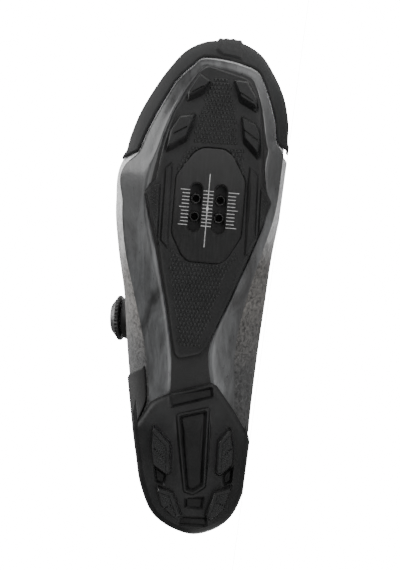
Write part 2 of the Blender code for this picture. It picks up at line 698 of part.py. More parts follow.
def medial_points():
    """Points of all that can touch the floor on the medial side."""
    medial = COLUMNS[COLUMNS < TURN]
    end = top_edge(medial)
    rows = upper_rows(end)
    skin = off_wall(medial[:, None], rows, np.zeros(rows.shape))
    forward = medial[outline(medial)[0] > GUARD_MEDIAL_END * LAST_LENGTH]
    rows = np.broadcast_to(np.linspace(-0.9, GUARD_TOP, 5), (len(forward), 5))
    guard = off_wall(forward[:, None], rows, np.full(rows.shape, GUARD_GAP + GUARD_THICKNESS))
    heel = medial[outline(medial)[0] < 0.168 * LAST_LENGTH]
    cup = cup_paths(heel)
    above = np.linspace(0, 0.5, 5)
    counter = off_wall(heel[:, None], np.broadcast_to(above, (len(heel), 5)), np.full((len(heel), 5), OVER_COUNTER))
    edge_x, edge_y = sole_edge(medial, SOLE_LIP)
    edge = np.stack([edge_x, edge_y, board(edge_x)], -1)
    return np.concatenate([p.reshape(-1, 3) for p in (skin, guard, cup, counter, edge)])


def station(x, medial):
    t = t_at(np.asarray(x, float))
    return t if medial else 2 * TURN - t


def below_throat(x, medial, distance):
    """The w at a distance down the wall from the throat's edge."""
    t = station(x, medial)
    w = top_edge(t)
    steps = 12
    for _ in range(steps):
        rate = np.linalg.norm(wall(t, w) - wall(t, w - 0.01)) / 0.01
        w = w - distance / steps / rate
    return w


def on_flap(x, medial, distance, height):
    """A point on the upper beside the throat."""
    w = below_throat(x, medial, distance)
    return off_wall(station(x, medial), w, np.asarray(height, float))


def flow(points, spacing):
    """Points at even spacing along a smooth curve through the given ones."""
    points = np.array(points)
    knots = np.concatenate([[0], np.cumsum(np.sqrt(np.linalg.norm(np.diff(points, axis=0), axis=1)))])
    fine = np.linspace(0, knots[-1], 1200)
    curve = np.stack([smooth(knots, points[:, i], fine) for i in range(3)], -1)
    length = np.concatenate([[0], np.cumsum(np.linalg.norm(np.diff(curve, axis=0), axis=1))])
    at = np.linspace(0, length[-1], int(length[-1] / spacing) + 2)
    return np.stack([np.interp(at, length, curve[:, i]) for i in range(3)], -1)


def tube(name, points, diameter):
    curve = bpy.data.curves.new(name, "CURVE")
    curve.dimensions = "3D"
    curve.bevel_depth = diameter / 2
    curve.bevel_resolution = 2
    curve.use_fill_caps = True
    spline = curve.splines.new("POLY")
    spline.points.add(len(points) - 1)
    for target, point in zip(spline.points, points):
        target.co = (*point, 1)
    made = bpy.data.objects.new(name, curve)
    SHOE.objects.link(made)
    return made


def make_upper():
    end = top_edge(COLUMNS)
    end = np.where(end > 0.999, 1.0, end)
    rows = upper_rows(end)
    skin = wall(COLUMNS[:, None], rows)
    edge_x, edge_y = sole_edge(COLUMNS)
    middle_x, middle_y = middle(COLUMNS)
    far = np.hypot(edge_x - middle_x, edge_y - middle_y)
    in_x = edge_x + (middle_x - edge_x) / far * LASTING_MARGIN
    in_y = edge_y + (middle_y - edge_y) / far * LASTING_MARGIN
    margin = np.stack([in_x, in_y, board(in_x) + GAP], -1)[:, None]
    paths = np.concatenate([margin, limited(skin, covered(COLUMNS)[:, None])], 1)
    x = outline(COLUMNS)[0] / LAST_LENGTH
    padded = 1 - ramp(0.27, 0.33, x)
    down = (end[:, None] - rows) * 95 * MM / COLLAR_PAD_DEPTH
    near = np.clip(1 - down, 0, 1) * (rows >= 0)
    swell = padded[:, None] * np.sin(np.clip(near * 1.4, 0, 1) * math.pi / 2)
    share = (WALL + (COLLAR_WALL - WALL) * swell) / COLLAR_WALL
    share = np.concatenate([np.full((len(COLUMNS), 1), WALL / COLLAR_WALL), share], 1)
    return shell("upper", paths, COLLAR_WALL, closed=True, offset=-1, share=share)


def make_tongue():
    x = np.linspace(TONGUE_TOP, TONGUE_FRONT, 13) * LAST_LENGTH
    under = WALL + TONGUE_GAP
    paths = []
    for position in x:
        half = throat_half(np.minimum(position, 0.66 * LAST_LENGTH)) + TONGUE_TUCK
        half = half * (0.72 + 0.28 * ramp(TONGUE_TOP, TONGUE_TOP + 0.045, position / LAST_LENGTH))
        path = []
        for share in np.linspace(-1, 1, 9):
            t = station(position, share > 0)
            out_x, out_y = outline(t)
            middle_x, middle_y = middle(t)
            out = abs(share) * half / np.hypot(out_x - middle_x, out_y - middle_y)
            w = math.acos(min(1, out ** (SQUARENESS / 2))) * 2 / math.pi
            path.append(off_wall(t, np.asarray(w), np.asarray(-under)))
        paths.append(path)
    return shell("tongue", paths, TONGUE_THICKNESS, offset=-1, reverse=False)


def make_insole():
    edge_x, edge_y = sole_edge(COLUMNS, -INSOLE_INSET)
    middle_x, middle_y = middle(COLUMNS)
    share = np.array([0.0, 1.0])
    x = edge_x[:, None] + (middle_x - edge_x)[:, None] * share
    y = edge_y[:, None] + (middle_y - edge_y)[:, None] * share
    low = board(x) + WALL + 3 * GAP
    return loft("insole", folded(x, y, low + INSOLE_THICKNESS, low), x.shape[1])


def cleat_line(offset, along):
    """A point on a cleat slot's middle line: offset sideways from the pair's middle, and along it."""
    centre = Vector(plan([CLEAT_CENTRE])[0])
    return tuple(centre + Matrix.Rotation(CLEAT_TURN, 2) @ Vector((along, offset)))


def slots(clearance=0.0):
    return [
        stadium(cleat_line(offset, 0), SLOT_LENGTH + clearance, SLOT_WIDTH + clearance, CLEAT_TURN)
        for offset in (-SLOT_SPACING / 2, SLOT_SPACING / 2)
    ]


def make_outsole():
    x, y, depth = board_points(COLUMNS)
    made = loft("outsole", folded(x, y, board(x), board(x) - depth), x.shape[1])
    return combine(made, "DIFFERENCE", prism("board_slots", slots(), 0, 40 * MM))


def make_forefoot_tread():
    made = under_board(
        "forefoot_tread", lambda x, under: under - GAP, lambda x, under: under - GAP - TREAD_BASE, SHOE
    )
    combine(made, "INTERSECT", prism("tread_outline", [plan(TREAD_OUTLINE)], *CUT_RANGE))
    groups = (
        ("chevron", CHEVRON_LUGS, lambda x, under: TOE_SPRING * side("spring", x)),
        ("rail", RAIL_LUGS, lambda x, under: under - GAP - TREAD_BASE - RAIL_LUG_RISE),
        ("wing", WING_LUGS, lambda x, under: under - GAP - TREAD_BASE - WING_RISE),
    )
    for name, outlines, low in groups:
        lugs = under_board(name + "_lugs", lambda x, under: under - GAP - 0.5 * TREAD_BASE, low, CUTTERS)
        combine(lugs, "INTERSECT", prism(name + "_outlines", [plan(p) for p in outlines], *CUT_RANGE))
        combine(made, "UNION", lugs)
    hole = grown(plan(PLATE_OUTLINE), PLATE_CLEARANCE)
    return combine(made, "DIFFERENCE", prism("plate_recess", [hole], *CUT_RANGE))


def make_cleat_plate():
    made = under_board(
        "cleat_plate", lambda x, under: under - GAP, lambda x, under: 0 * under + CLEAT_RECESS, SHOE
    )
    combine(made, "INTERSECT", prism("plate_outline", [plan(PLATE_OUTLINE)], *CUT_RANGE))
    return combine(made, "DIFFERENCE", prism("plate_slots", slots(), *CUT_RANGE))


def make_nut_plate():
    length, width, thickness = NUT_PLATE
    reach = cleat_line(0, 0)[0] + np.linspace(-0.5, 0.5, 7) * length
    base = float(board(reach).max()) + GAP
    mesh = bmesh.new()
    bmesh.ops.create_cube(mesh, size=1)
    bmesh.ops.scale(mesh, vec=(length, width, thickness), verts=mesh.verts)
    made = new_object("cleat_nut_plate", mesh)
    made.location = (*cleat_line(0, 0), base + thickness / 2)
    made.rotation_euler.z = CLEAT_TURN
    kinds = (
        ("nut", NUT_BOSS / 2, -NUT_BOSS_LENGTH, 0.5 * thickness, "UNION"),
        ("bore", NUT_BORE / 2, -2 * NUT_BOSS_LENGTH, 2 * thickness, "DIFFERENCE"),
    )
    for kind, radius, low, high, operation in kinds:
        for i, (across, along) in enumerate(((-1, -1), (-1, 1), (1, -1), (1, 1))):
            mesh = bmesh.new()
            bmesh.ops.create_cone(
                mesh, cap_ends=True, segments=12, radius1=radius, radius2=radius, depth=high - low
            )
            tool = new_object(f"{kind}_{i}", mesh, CUTTERS)
            at = cleat_line(across * SLOT_SPACING / 2, along * NUT_PITCH / 2)
            tool.location = (*at, base + (low + high) / 2)
            combine(made, operation, tool)
    return made


def make_heel_tread():
    stations = stretch_over_heel(HEEL_LOFT_END, HEEL_LOFT_END)
    made = loft("heel_tread", limited(cup_paths(stations), 0), None, SHOE, closed=False)
    combine(made, "INTERSECT", prism("heel_outline", [plan(HEEL_OUTLINE)], *CUT_RANGE))

    def face(x, under):
        return under - GAP - heel_base(x)

    lugs = under_board("heel_lugs", lambda x, under: face(x, under) + 1.5 * MM, lambda x, under: 0 * x, CUTTERS)
    combine(lugs, "INTERSECT", prism("heel_lug_outlines", [plan(p) for p in HEEL_LUGS], *CUT_RANGE))
    combine(made, "UNION", lugs)
    window = plan(WINDOW_OUTLINE)
    rim = under_board(
        "window_rim", lambda x, under: face(x, under) + MM, lambda x, under: face(x, under) - RIM_RISE, CUTTERS
    )
    combine(rim, "INTERSECT", prism("rim_outline", [grown(window, RIM_WIDTH)], *CUT_RANGE))
    combine(made, "UNION", rim)
    recess = under_board(
        "heel_recess", lambda x, under: face(x, under) + PANEL_DEPTH, lambda x, under: 0 * x - MM, CUTTERS
    )
    panels = [window, plan(SMALL_WINDOW_OUTLINE), plan(BADGE_OUTLINE)]
    combine(recess, "INTERSECT", prism("panel_outlines", panels, *CUT_RANGE))
    return combine(made, "DIFFERENCE", recess)


def stretch_over_heel(medial_end, lateral_end, lateral_extra=()):
    """The columns round the heel, from the lateral end to the medial end, as shares of the length."""
    lateral = [-float(t_at(share * LAST_LENGTH)) for share in (lateral_end, *lateral_extra)]
    ends = np.array([*lateral, float(t_at(medial_end * LAST_LENGTH))])
    both = np.concatenate([COLUMNS[COLUMNS > TURN] - 2 * TURN, COLUMNS[COLUMNS <= TURN]])
    inner = both[(both > ends[0]) & (both < ends[-1])]
    inner = inner[np.abs(inner[:, None] - ends).min(1) > MM]
    return np.sort(np.concatenate([inner, ends]))


def make_toe_guard():
    first = float(t_at(GUARD_MEDIAL_END * LAST_LENGTH))
    last = 2 * TURN - float(t_at(GUARD_LATERAL_END * LAST_LENGTH))
    nub = [nub_station(share + nudge) for share in NUB_SIDES for nudge in (-0.3, 0.3)]
    stations = stretch(first, last, *nub)
    taper = ramp(0, GUARD_TAPER, np.minimum(stations - first, last - stations))
    high = GUARD_TOP * (0.15 + 0.85 * taper)
    w = overlay_rows(np.full(stations.shape, GUARD_LOW), high, (0, 0.04, 0.29, 0.64, 1), (0.38, 0.85, 1))
    t = stations[:, None] + 0 * w
    near_end = 1 - ramp(0, GUARD_TAPER, np.minimum(t - first, last - t))
    t = t + np.where(t < TURN, -1, 1) * near_end * GUARD_SLANT * np.clip(-w, 0, 1)
    across = outline(t)[1] / BALL_WIDTH * 100
    raised = (across > NUB_SIDES[0]) & (across < NUB_SIDES[1]) & (np.abs(t - TURN) < 30 * MM)
    raised = raised & (w > GUARD_LOW + 0.02) & (w < 0.93 * high[:, None])
    share = (GUARD_THICKNESS + NUB_RISE * raised) / (GUARD_THICKNESS + NUB_RISE)
    base = off_wall(t, w, np.full(w.shape, GUARD_GAP))
    return shell("toe_guard", limited(base, GUARD_THICKNESS), GUARD_THICKNESS + NUB_RISE, share=share)


def overlay_rows(low, high, below, above):
    """The w of an overlay's rows: shares of the way from low to the widest outline, then from it to high."""
    return np.concatenate([low[:, None] * (1 - np.array(below)), high[:, None] * np.array(above)], 1)


def nub_station(share):
    """The station at the toe whose outline lies at a share of the width across."""
    low, high = TURN - 28 * MM, TURN + 28 * MM
    for _ in range(40):
        half = (low + high) / 2
        if float(outline(np.asarray(half))[1]) > share / 100 * BALL_WIDTH:
            low = half
        else:
            high = half
    return (low + high) / 2


def make_heel_counter():
    stations = stretch_over_heel(COUNTER_MEDIAL_END, COUNTER_LATERAL_END, COUNTER_STEPS)
    x = outline(stations)[0] / LAST_LENGTH
    low = -0.28 - 0.60 * ramp(0.232, 0.268, x) * (stations < 0)
    end = np.minimum(stations - stations[0], stations[-1] - stations)
    high = top_edge(stations) * COUNTER_TOP * (0.35 + 0.65 * ramp(0, 30 * MM, end))
    w = overlay_rows(low, high, (0, 0.24, 0.5, 0.75, 1), (0.18, 0.38, 0.66, 1))
    t = stations[:, None] + 0 * w
    near_end = 1 - ramp(0, 20 * MM, t - stations[0])
    t = t - near_end * COUNTER_SLANT * np.clip(-w, 0, 1)
    base = off_wall(t, w, np.full(w.shape, OVERLAY_GAP))
    return shell("heel_counter", limited(base, COUNTER_THICKNESS), COUNTER_THICKNESS)


def dial_frame():
    """Where the dial's axis leaves the wall, and its direction."""
    t = station(DIAL_AT[0] * LAST_LENGTH, False)
    w = np.asarray(DIAL_AT[1])
    return Vector(wall(t, w)), Vector(wall_normal(t, w))


def make_dial_base():
    at, axis = dial_frame()
    sunk = 6 * MM
    mesh = bmesh.new()
    bmesh.ops.create_cone(
        mesh, cap_ends=True, segments=40, radius1=DIAL_BASE_RADIUS + 1.0 * MM, radius2=DIAL_BASE_RADIUS,
        depth=DIAL_BASE_HEIGHT + sunk,
    )
    made = new_object("dial_base", mesh)
    made.location = at + axis * (DIAL_BASE_HEIGHT - sunk) / 2
    made.rotation_mode = "QUATERNION"
    made.rotation_quaternion = axis.to_track_quat("Z", "Y")
    return combine(made, "DIFFERENCE", last_form("last_under_dial", OVERLAY_GAP))


def make_dial_knob():
    at, axis = dial_frame()
    radius, height = DIAL_RADIUS, DIAL_HEIGHT
    profile = [
        (0, height - 0.5 * MM), (0.52 * radius, height - 0.5 * MM), (0.60 * radius, height),
        (radius - 1.9 * MM, height), (radius - 0.6 * MM, height - 0.8 * MM), (radius, height - 2.2 * MM),
        (radius, 1.4 * MM), (radius - 0.9 * MM, 0), (0, 0),
    ]
    mesh = bmesh.new()
    chain = [mesh.verts.new((x, 0, z)) for x, z in profile]
    for a, b in zip(chain, chain[1:]):
        mesh.edges.new((a, b))
    made = new_object("dial_knob", mesh)
    modifier = made.modifiers.new("turn", "SCREW")
    modifier.steps = modifier.render_steps = 30
    modifier.use_merge_vertices = True
    modifier.merge_threshold = 1e-5
    modifier.use_normal_calculate = True
    made.location = at + axis * (DIAL_BASE_HEIGHT + 2 * GAP)
    made.rotation_mode = "QUATERNION"
    made.rotation_quaternion = axis.to_track_quat("Z", "Y")
    return made


def make_loop(name, x, medial):
    """A webbing loop, sewn to the flap, round the lace on its throat side."""
    lift, bend = LACE_LIFT, LOOP_BEND
    section = [(LOOP_AT + LOOP_LEG, lift - bend), (LOOP_AT + 0.5 * LOOP_LEG, lift - bend)]
    for i in range(7):
        angle = math.radians(-90 - 180 * i / 6)
        section.append((LOOP_AT + bend * math.cos(angle), lift + bend * math.sin(angle)))
    section.append((LOOP_AT + 0.5 * LOOP_LEG, lift + 0.55 * bend))
    section.append((LOOP_AT + LOOP_LEG, lift - bend + LOOP_WEB + 0.25 * MM))
    paths = [
        [on_flap(x + along, medial, distance, height) for distance, height in section]
        for along in (-LOOP_WIDTH / 2, 0, LOOP_WIDTH / 2)
    ]
    return shell(name, paths, LOOP_WEB, offset=0)


def make_cable_cover():
    """The raised channel on the lateral flap that the lace's far end runs back in."""
    route = flow([(x * LAST_LENGTH, d, 0) for x, d in COVER_ROUTE], 7 * MM)
    along = np.gradient(route, axis=0)
    along /= np.linalg.norm(along, axis=1)[:, None]
    across = np.stack([-along[:, 1], along[:, 0]], -1)
    paths = []
    for point, normal in zip(route, across):
        path = []
        for share in (-1, -0.5, 0.5, 1):
            x, d = point[0] + normal[0] * share * COVER_WIDTH / 2, point[1] + normal[1] * share * COVER_WIDTH / 2
            path.append(on_flap(x, False, d, OVERLAY_GAP))
        paths.append(path)
    share = [[0.45, 1.0, 1.0, 0.45]] * len(paths)
    return shell("cable_cover", paths, COVER_THICKNESS, share=share)


def make_lace():
    """The cable, from the dial over the throat, through the loops in turn, to the cover's end."""
    at, axis = dial_frame()
    guides = sorted([(x, True) for x in MEDIAL_LOOPS] + [(x, False) for x in LATERAL_LOOPS])
    first = on_flap(guides[0][0] * LAST_LENGTH - 5.8 * MM, True, 2.2 * MM, LACE_LIFT)
    aim = Vector(first) - at
    aim = (aim - axis * aim.dot(axis)).normalized()
    points = [at + aim * (DIAL_BASE_RADIUS + 1.6 * MM) + axis * 1.9 * MM]
    start_x = points[0].x
    end_x = guides[0][0] * LAST_LENGTH - 9 * MM
    start_w = surface_w(points[0], False)
    for share in (0.25, 0.5, 0.75, 1.0):
        x = start_x + (end_x - start_x) * share
        t = station(x, False)
        w = start_w + (float(top_edge(t)) - start_w) * share
        points.append(off_wall(t, np.asarray(w), np.asarray(LACE_LIFT)))
    points.append(over_crown(end_x + 1.5 * MM))
    for (share, medial), following in zip(guides, guides[1:] + [(COVER_ROUTE[0][0], False)]):
        x = share * LAST_LENGTH
        points.append(on_flap(x - 5.6 * MM, medial, 1.6 * MM, LACE_LIFT))
        for nudge in (-0.5, -0.28, 0, 0.28, 0.5):
            points.append(on_flap(x + nudge * LOOP_WIDTH, medial, LOOP_AT, LACE_LIFT))
        points.append(on_flap(x + 5.6 * MM, medial, 1.6 * MM, LACE_LIFT))
        if following[1] != medial:
            points.append(over_crown((x + following[0] * LAST_LENGTH) / 2))
    last_x, last_d = COVER_ROUTE[0]
    points.append(on_flap(last_x * LAST_LENGTH, False, 0.8 * MM, LACE_LIFT))
    points.append(on_flap(last_x * LAST_LENGTH - 0.3 * MM, False, last_d - 0.5 * MM, 1.5 * MM))
    return tube("lace", flow(points, LACE_SPACING), LACE_DIAMETER)


def over_crown(x):
    return off_wall(station(x, True), np.asarray(1.0), np.asarray(0.7 * MM))


def surface_w(point, medial):
    """The w on the wall nearest to a point, at the point's x."""
    t = station(point[0], medial)
    w = np.linspace(-0.2, 1, 241)
    return float(w[np.argmin(np.linalg.norm(wall(t, w) - np.array(point), axis=-1))])


def lay_down(nodes):
    """Parents every node to an empty that lays the shoe on its medial side, middled over the origin."""
    down = Vector((-FLOOR[1], 1, -FLOOR[2])).normalized()
    along = Vector((1, 0, 0))
    along = (along - down * along.dot(down)).normalized()
    up = -down
    turn = Matrix((along, up.cross(along), up))
    graph = bpy.context.evaluated_depsgraph_get()
    corners = []
    for node in nodes:
        shape = node.evaluated_get(graph).to_mesh()
        corners.extend(turn @ (node.matrix_world @ v.co) for v in shape.vertices)
    low = Vector([min(c[i] for c in corners) for i in range(3)])
    high = Vector([max(c[i] for c in corners) for i in range(3)])
    pose = bpy.data.objects.new("resting_pose", None)
    SHOE.objects.link(pose)
    shift = Vector((-(low.x + high.x) / 2, -(low.y + high.y) / 2, -low.z))
    pose.matrix_world = Matrix.Translation(shift) @ turn.to_4x4()
    for held in [*nodes, *CUTTERS.objects]:
        held.parent = pose


def paint(node, slot):
    if slot not in bpy.data.materials:
        color, roughness, metallic = MATERIALS[slot]
        material = bpy.data.materials.new(slot)
        material.use_nodes = True
        shader = material.node_tree.nodes["Principled BSDF"]
        shader.inputs["Base Color"].default_value = (*color, 1)
        shader.inputs["Roughness"].default_value = roughness
        shader.inputs["Metallic"].default_value = metallic
    node.data.materials.append(bpy.data.materials[slot])


for leftover in list(bpy.data.objects):
    bpy.data.objects.remove(leftover)
SHOE = bpy.data.collections.new("gravel_shoe")
CUTTERS = bpy.data.collections.new("cutters")
bpy.context.scene.collection.children.link(SHOE)
bpy.context.scene.collection.children.link(CUTTERS)

FLOOR = floor_under(medial_points())

NODES = [
    (make_upper(), "upper_textile"),
    (make_tongue(), "lining"),
    (make_insole(), "lining"),
    (make_outsole(), "sole_composite"),
    (make_forefoot_tread(), "tread_rubber"),
    (make_heel_tread(), "tread_rubber"),
    (make_cleat_plate(), "cleat_insert"),
    (make_nut_plate(), "nut_steel"),
    (make_toe_guard(), "tread_rubber"),
    (make_heel_counter(), "black_film"),
    (make_dial_base(), "dial_plastic"),
    (make_dial_knob(), "dial_plastic"),
    (make_cable_cover(), "black_film"),
    (make_lace(), "lace_cable"),
]
for side_name, medial, shares in (("medial", True, MEDIAL_LOOPS), ("lateral", False, LATERAL_LOOPS)):
    for number, share in enumerate(shares, 1):
        loop = make_loop(f"lace_loop_{side_name}_{number}", share * LAST_LENGTH, medial)
        NODES.append((loop, "black_film"))
for node, slot in NODES:
    paint(node, slot)
lay_down([node for node, _ in NODES])
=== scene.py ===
"""Looks for the gravel shoe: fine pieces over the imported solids, materials, light and camera.

Every piece is made in the shoe's own frame, X from heel to toe, Y towards the medial side, Z up, and POSE
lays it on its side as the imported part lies.
"""

import math

import bmesh
import bpy
import numpy as np
from mathutils import Matrix, Vector
from mathutils.bvhtree import BVHTree
from mathutils.geometry import delaunay_2d_cdt


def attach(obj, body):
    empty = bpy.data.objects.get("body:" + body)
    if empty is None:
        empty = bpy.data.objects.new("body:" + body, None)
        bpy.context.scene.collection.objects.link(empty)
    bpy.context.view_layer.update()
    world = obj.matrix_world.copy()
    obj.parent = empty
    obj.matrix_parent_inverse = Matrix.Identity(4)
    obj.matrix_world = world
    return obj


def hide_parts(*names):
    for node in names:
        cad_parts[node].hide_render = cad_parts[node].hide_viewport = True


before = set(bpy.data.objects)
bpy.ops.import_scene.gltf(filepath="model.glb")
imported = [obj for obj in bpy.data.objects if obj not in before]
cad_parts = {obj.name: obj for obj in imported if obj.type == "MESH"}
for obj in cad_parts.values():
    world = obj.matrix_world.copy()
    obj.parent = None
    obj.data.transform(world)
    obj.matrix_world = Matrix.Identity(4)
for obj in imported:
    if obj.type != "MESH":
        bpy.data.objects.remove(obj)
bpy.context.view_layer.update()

MM = 0.001
POSE = Matrix(
    (
        (0.9974920, 0.0707602, -0.0016194, -0.1419798),
        (0.0, 0.0228799, 0.9997383, -0.0605841),
        (0.0707787, -0.9972309, 0.0228225, 0.0225178),
        (0, 0, 0, 1),
    )
)

# Sizes of the last and the sole, as the solids have them
LAST_LENGTH = 0.2825
BALL_WIDTH = 0.0975
INSTEP_HEIGHT = 0.088
HEEL_STACK = 0.024
FOREFOOT_STACK = 0.013
TOE_SPRING = 0.021
WALL = 2.2 * MM
COLLAR_WALL = 5.0 * MM
COLLAR_PAD_DEPTH = 22 * MM
LASTING_MARGIN = 8 * MM
SQUARENESS = 2.15
GAP = 0.3 * MM
OVERLAY_GAP = 0.45 * MM
GUARD_GAP = 0.8 * MM
GUARD_THICKNESS = 1.4 * MM
NUB_RISE = 1.5 * MM
COUNTER_THICKNESS = 0.9 * MM
TONGUE_THICKNESS = 3.4 * MM
TONGUE_GAP = 1.5 * MM
TONGUE_TUCK = 11 * MM
TONGUE_TOP = 0.342
TONGUE_FRONT = 0.735
INSOLE_THICKNESS = 3.0 * MM
INSOLE_INSET = 3.6 * MM
SOLE_LIP = 0.7 * MM
BOARD_EDGE = 2.2 * MM
BOARD_DEPTH = 6.2 * MM
TREAD_BASE = 2.0 * MM
RAIL_LUG_RISE = 0.6 * MM
WING_RISE = 1.2 * MM
CUP_TOP = 9.0 * MM
CUP_LIP = 0.9 * MM
HEEL_BASE = 8.0 * MM
PANEL_DEPTH = 1.4 * MM
HEEL_FIELD_DROP = 0.5 * MM
SLOT_SPACING = 14.0 * MM
SLOT_WIDTH = 6.6 * MM
SLOT_LENGTH = 27.5 * MM
CLEAT_RECESS = 4.9 * MM
NUT_PITCH = 10.2 * MM
NUT_BOSS = 5.7 * MM
NUT_BORE = 4.2 * MM
NUT_BOSS_LENGTH = 3.4 * MM
NUT_PLATE = (30 * MM, 23 * MM, 1.6 * MM)
PLATE_CLEARANCE = 0.4 * MM
DIAL_RADIUS = 13.2 * MM
DIAL_HEIGHT = 7.2 * MM
DIAL_BASE_RADIUS = 12.2 * MM
DIAL_BASE_HEIGHT = 3.4 * MM
LACE_DIAMETER = 1.3 * MM
LACE_LIFT = 2.4 * MM
LOOP_AT = 4.5 * MM
LOOP_BEND = 1.75 * MM
LOOP_LEG = 7.5 * MM
LOOP_WIDTH = 6.0 * MM
LOOP_WEB = 0.7 * MM
COVER_WIDTH = 6.0 * MM
COVER_THICKNESS = 2.0 * MM
WELD = 0.002 * MM
GROOVE_WIDTH = 0.9 * MM
GROOVE_DEPTH = 0.9 * MM
GRIPS = 36
GRIP_DEPTH = 0.55 * MM
CORNERS = ((-1, -1), (1, -1), (1, 1), (-1, 1))


def table(columns, rows):
    """Named columns of shares, written in per cent."""
    return {name: np.array([row[i] for row in rows]) / 100 for i, name in enumerate(columns.split())}


# Plan sections of the last, heel to toe: shares of LAST_LENGTH and BALL_WIDTH
PLAN = table(
    "along medial lateral edge_along_medial edge_medial edge_along_lateral edge_lateral "
    "rail_medial rail_lateral",
    [
        (0.0, -3.1, -3.1, 2.3, -3.1, 2.3, -3.1, 8.0, 8.0),
        (0.7, 6.0, -12.6, 2.7, 2.6, 2.7, -9.2, 8.0, 8.0),
        (3.4, 17.4, -25.6, 4.8, 12.8, 4.8, -21.5, 8.0, 8.0),
        (8.8, 24.6, -33.8, 9.6, 20.0, 9.6, -28.7, 8.0, 8.0),
        (15.8, 26.2, -38.4, 16.1, 21.0, 16.1, -32.3, 8.0, 8.5),
        (26.5, 27.6, -43.9, 26.7, 16.9, 26.7, -32.3, 12.0, 12.0),
        (37.2, 29.6, -48.5, 37.3, 15.0, 37.3, -36.9, 15.5, 15.5),
        (48.0, 32.1, -52.1, 48.0, 19.8, 48.0, -45.1, 9.7, 18.0),
        (56.9, 34.2, -57.0, 56.8, 26.7, 56.8, -51.8, 6.7, 18.0),
        (65.9, 37.6, -59.9, 65.7, 33.3, 65.7, -54.9, 5.5, 15.5),
        (74.8, 39.9, -57.2, 74.5, 35.6, 74.3, -53.1, 10.3, 16.4),
        (76.6, 40.0, -54.1, 76.3, 35.9, 76.3, -47.2, 10.3, 11.8),
        (78.0, 39.8, -52.8, 77.7, 36.1, 77.7, -45.4, 9.7, 11.3),
        (79.8, 38.0, -51.3, 79.5, 32.3, 79.5, -43.6, 7.2, 10.8),
        (84.5, 36.8, -46.7, 84.1, 29.7, 84.1, -37.9, 6.7, 9.2),
        (89.1, 33.8, -40.0, 88.3, 25.9, 88.0, -32.3, 5.6, 7.7),
        (93.9, 27.0, -31.4, 92.0, 21.8, 91.5, -26.7, 5.1, 7.2),
        (97.8, 18.6, -21.8, 94.0, 17.9, 94.5, -18.5, 5.1, 5.6),
        (99.6, 9.2, -11.4, 95.0, 10.3, 96.1, -12.8, 5.1, 5.1),
        (100.0, 0.5, 0.5, 95.8, 0.0, 95.8, 0.0, 5.1, 5.1),
    ],
)
SIDE = table(
    "along heel spring bulge crown keel",
    [
        (0, 104, 0, 16, 148, 100),
        (10.6, 100, 0, 16, 148, 100),
        (21, 100, 0, 18, 143, 105),
        (32, 91, 0, 22, 121, 122),
        (42.5, 59, 0, 25.5, 100, 130),
        (53, 18, 0, 25, 85, 118),
        (64, 0, 0, 18.5, 72, 100),
        (72.5, 0, 0, 16.5, 61.5, 95),
        (79.6, 0, 9, 16, 52.5, 85),
        (86.7, 0, 28, 16.5, 44, 75),
        (92.7, 0, 54, 14, 36, 65),
        (97.3, 0, 78, 12, 30, 60),
        (101, 0, 100, 11, 28, 60),
    ],
)
COLLAR = table(
    "along height",
    [(0, 79), (5, 77), (12, 69), (20, 61), (26, 62), (31, 71), (35.5, 85), (40, 97)],
)
THROAT = table("along half", [(33, 18.5), (42, 14.2), (53, 12.2), (64, 11), (71, 10.5)])
THROAT_FRONT = 0.70
THROAT_FRONT_RADIUS = 0.042
HEEL_CENTRE = 0.135
TOE_CENTRE = 0.85
CROWN_SHARE = 0.52

# Plan outlines of the treads: shares of LAST_LENGTH and BALL_WIDTH in per cent
TREAD_OUTLINE = [
    (94.9, -10.3), (94.0, -14.4), (88.7, -22.6), (85.1, -28.2), (81.6, -31.3), (78.1, -33.8), (74.5, -35.4),
    (71.0, -36.9), (68.3, -43.6), (63.9, -39.5), (57.9, -33.3), (53.3, -30.8), (46.2, -26.2), (39.1, -22.1),
    (35.9, -20.0), (35.0, -17.4), (36.1, -5.1), (37.3, -2.1), (42.7, 4.6), (49.7, 12.8), (56.8, 20.5),
    (62.1, 26.2), (67.6, 31.8), (71.0, 25.6), (78.1, 24.6), (85.1, 22.6), (88.7, 20.5), (91.9, 15.4),
    (92.7, 12.3),
]
PLATE_OUTLINE = [
    (77.9, -10.3), (76.8, -15.4), (72.0, -25.1), (60.4, -25.9), (56.1, -19.5), (54.9, -15.4), (54.8, 3.1),
    (55.8, 7.2), (60.4, 14.9), (71.7, 15.4), (76.6, 7.2), (77.8, 2.1),
]

# Lugs whose corners named in the second list lean back over a long sloping face
CHEVRON_LUGS = [
    ([(93.1, -14.9), (91.7, -8.2), (88.8, -12.3), (87.1, -21.5), (89.4, -21.0)], (2, 3)),
    ([(92.2, 5.1), (92.0, 13.3), (88.7, 19.2), (85.7, 19.5), (87.6, 9.2)], (3, 4)),
    ([(84.8, -15.9), (84.1, -25.1), (80.9, -30.3), (76.5, -31.8), (78.9, -20.5)], (3, 4)),
    ([(84.8, 10.8), (83.4, 19.5), (80.9, 22.5), (76.1, 21.8), (79.3, 12.8)], (3, 4)),
]
RAIL_LUGS = [
    [(207.5, -31.2), (212.0, -26.8), (204.0, -26.6), (171.0, -26.6), (160.5, -26.2), (166.0, -31.6)],
    [(212.1, 16.8), (206.3, 22.4), (163.6, 23.0), (159.0, 16.8)],
]
WING_LUGS = [
    [(199.0, -32.8), (197.2, -38.0), (193.0, -41.6), (162.5, -32.6), (162.5, -32.4)],
    [(199.5, 23.6), (197.5, 26.3), (191.3, 29.8), (163.5, 24.2), (163.5, 23.8)],
]
HEEL_FRONT = [
    (18.0, -42.0), (21.5, -39.5), (26.0, -32.3), (27.1, -27.7), (28.0, -21.5), (30.6, 3.1), (30.1, 6.2),
    (25.0, 17.9), (21.4, 24.6), (18.6, 28.5),
]
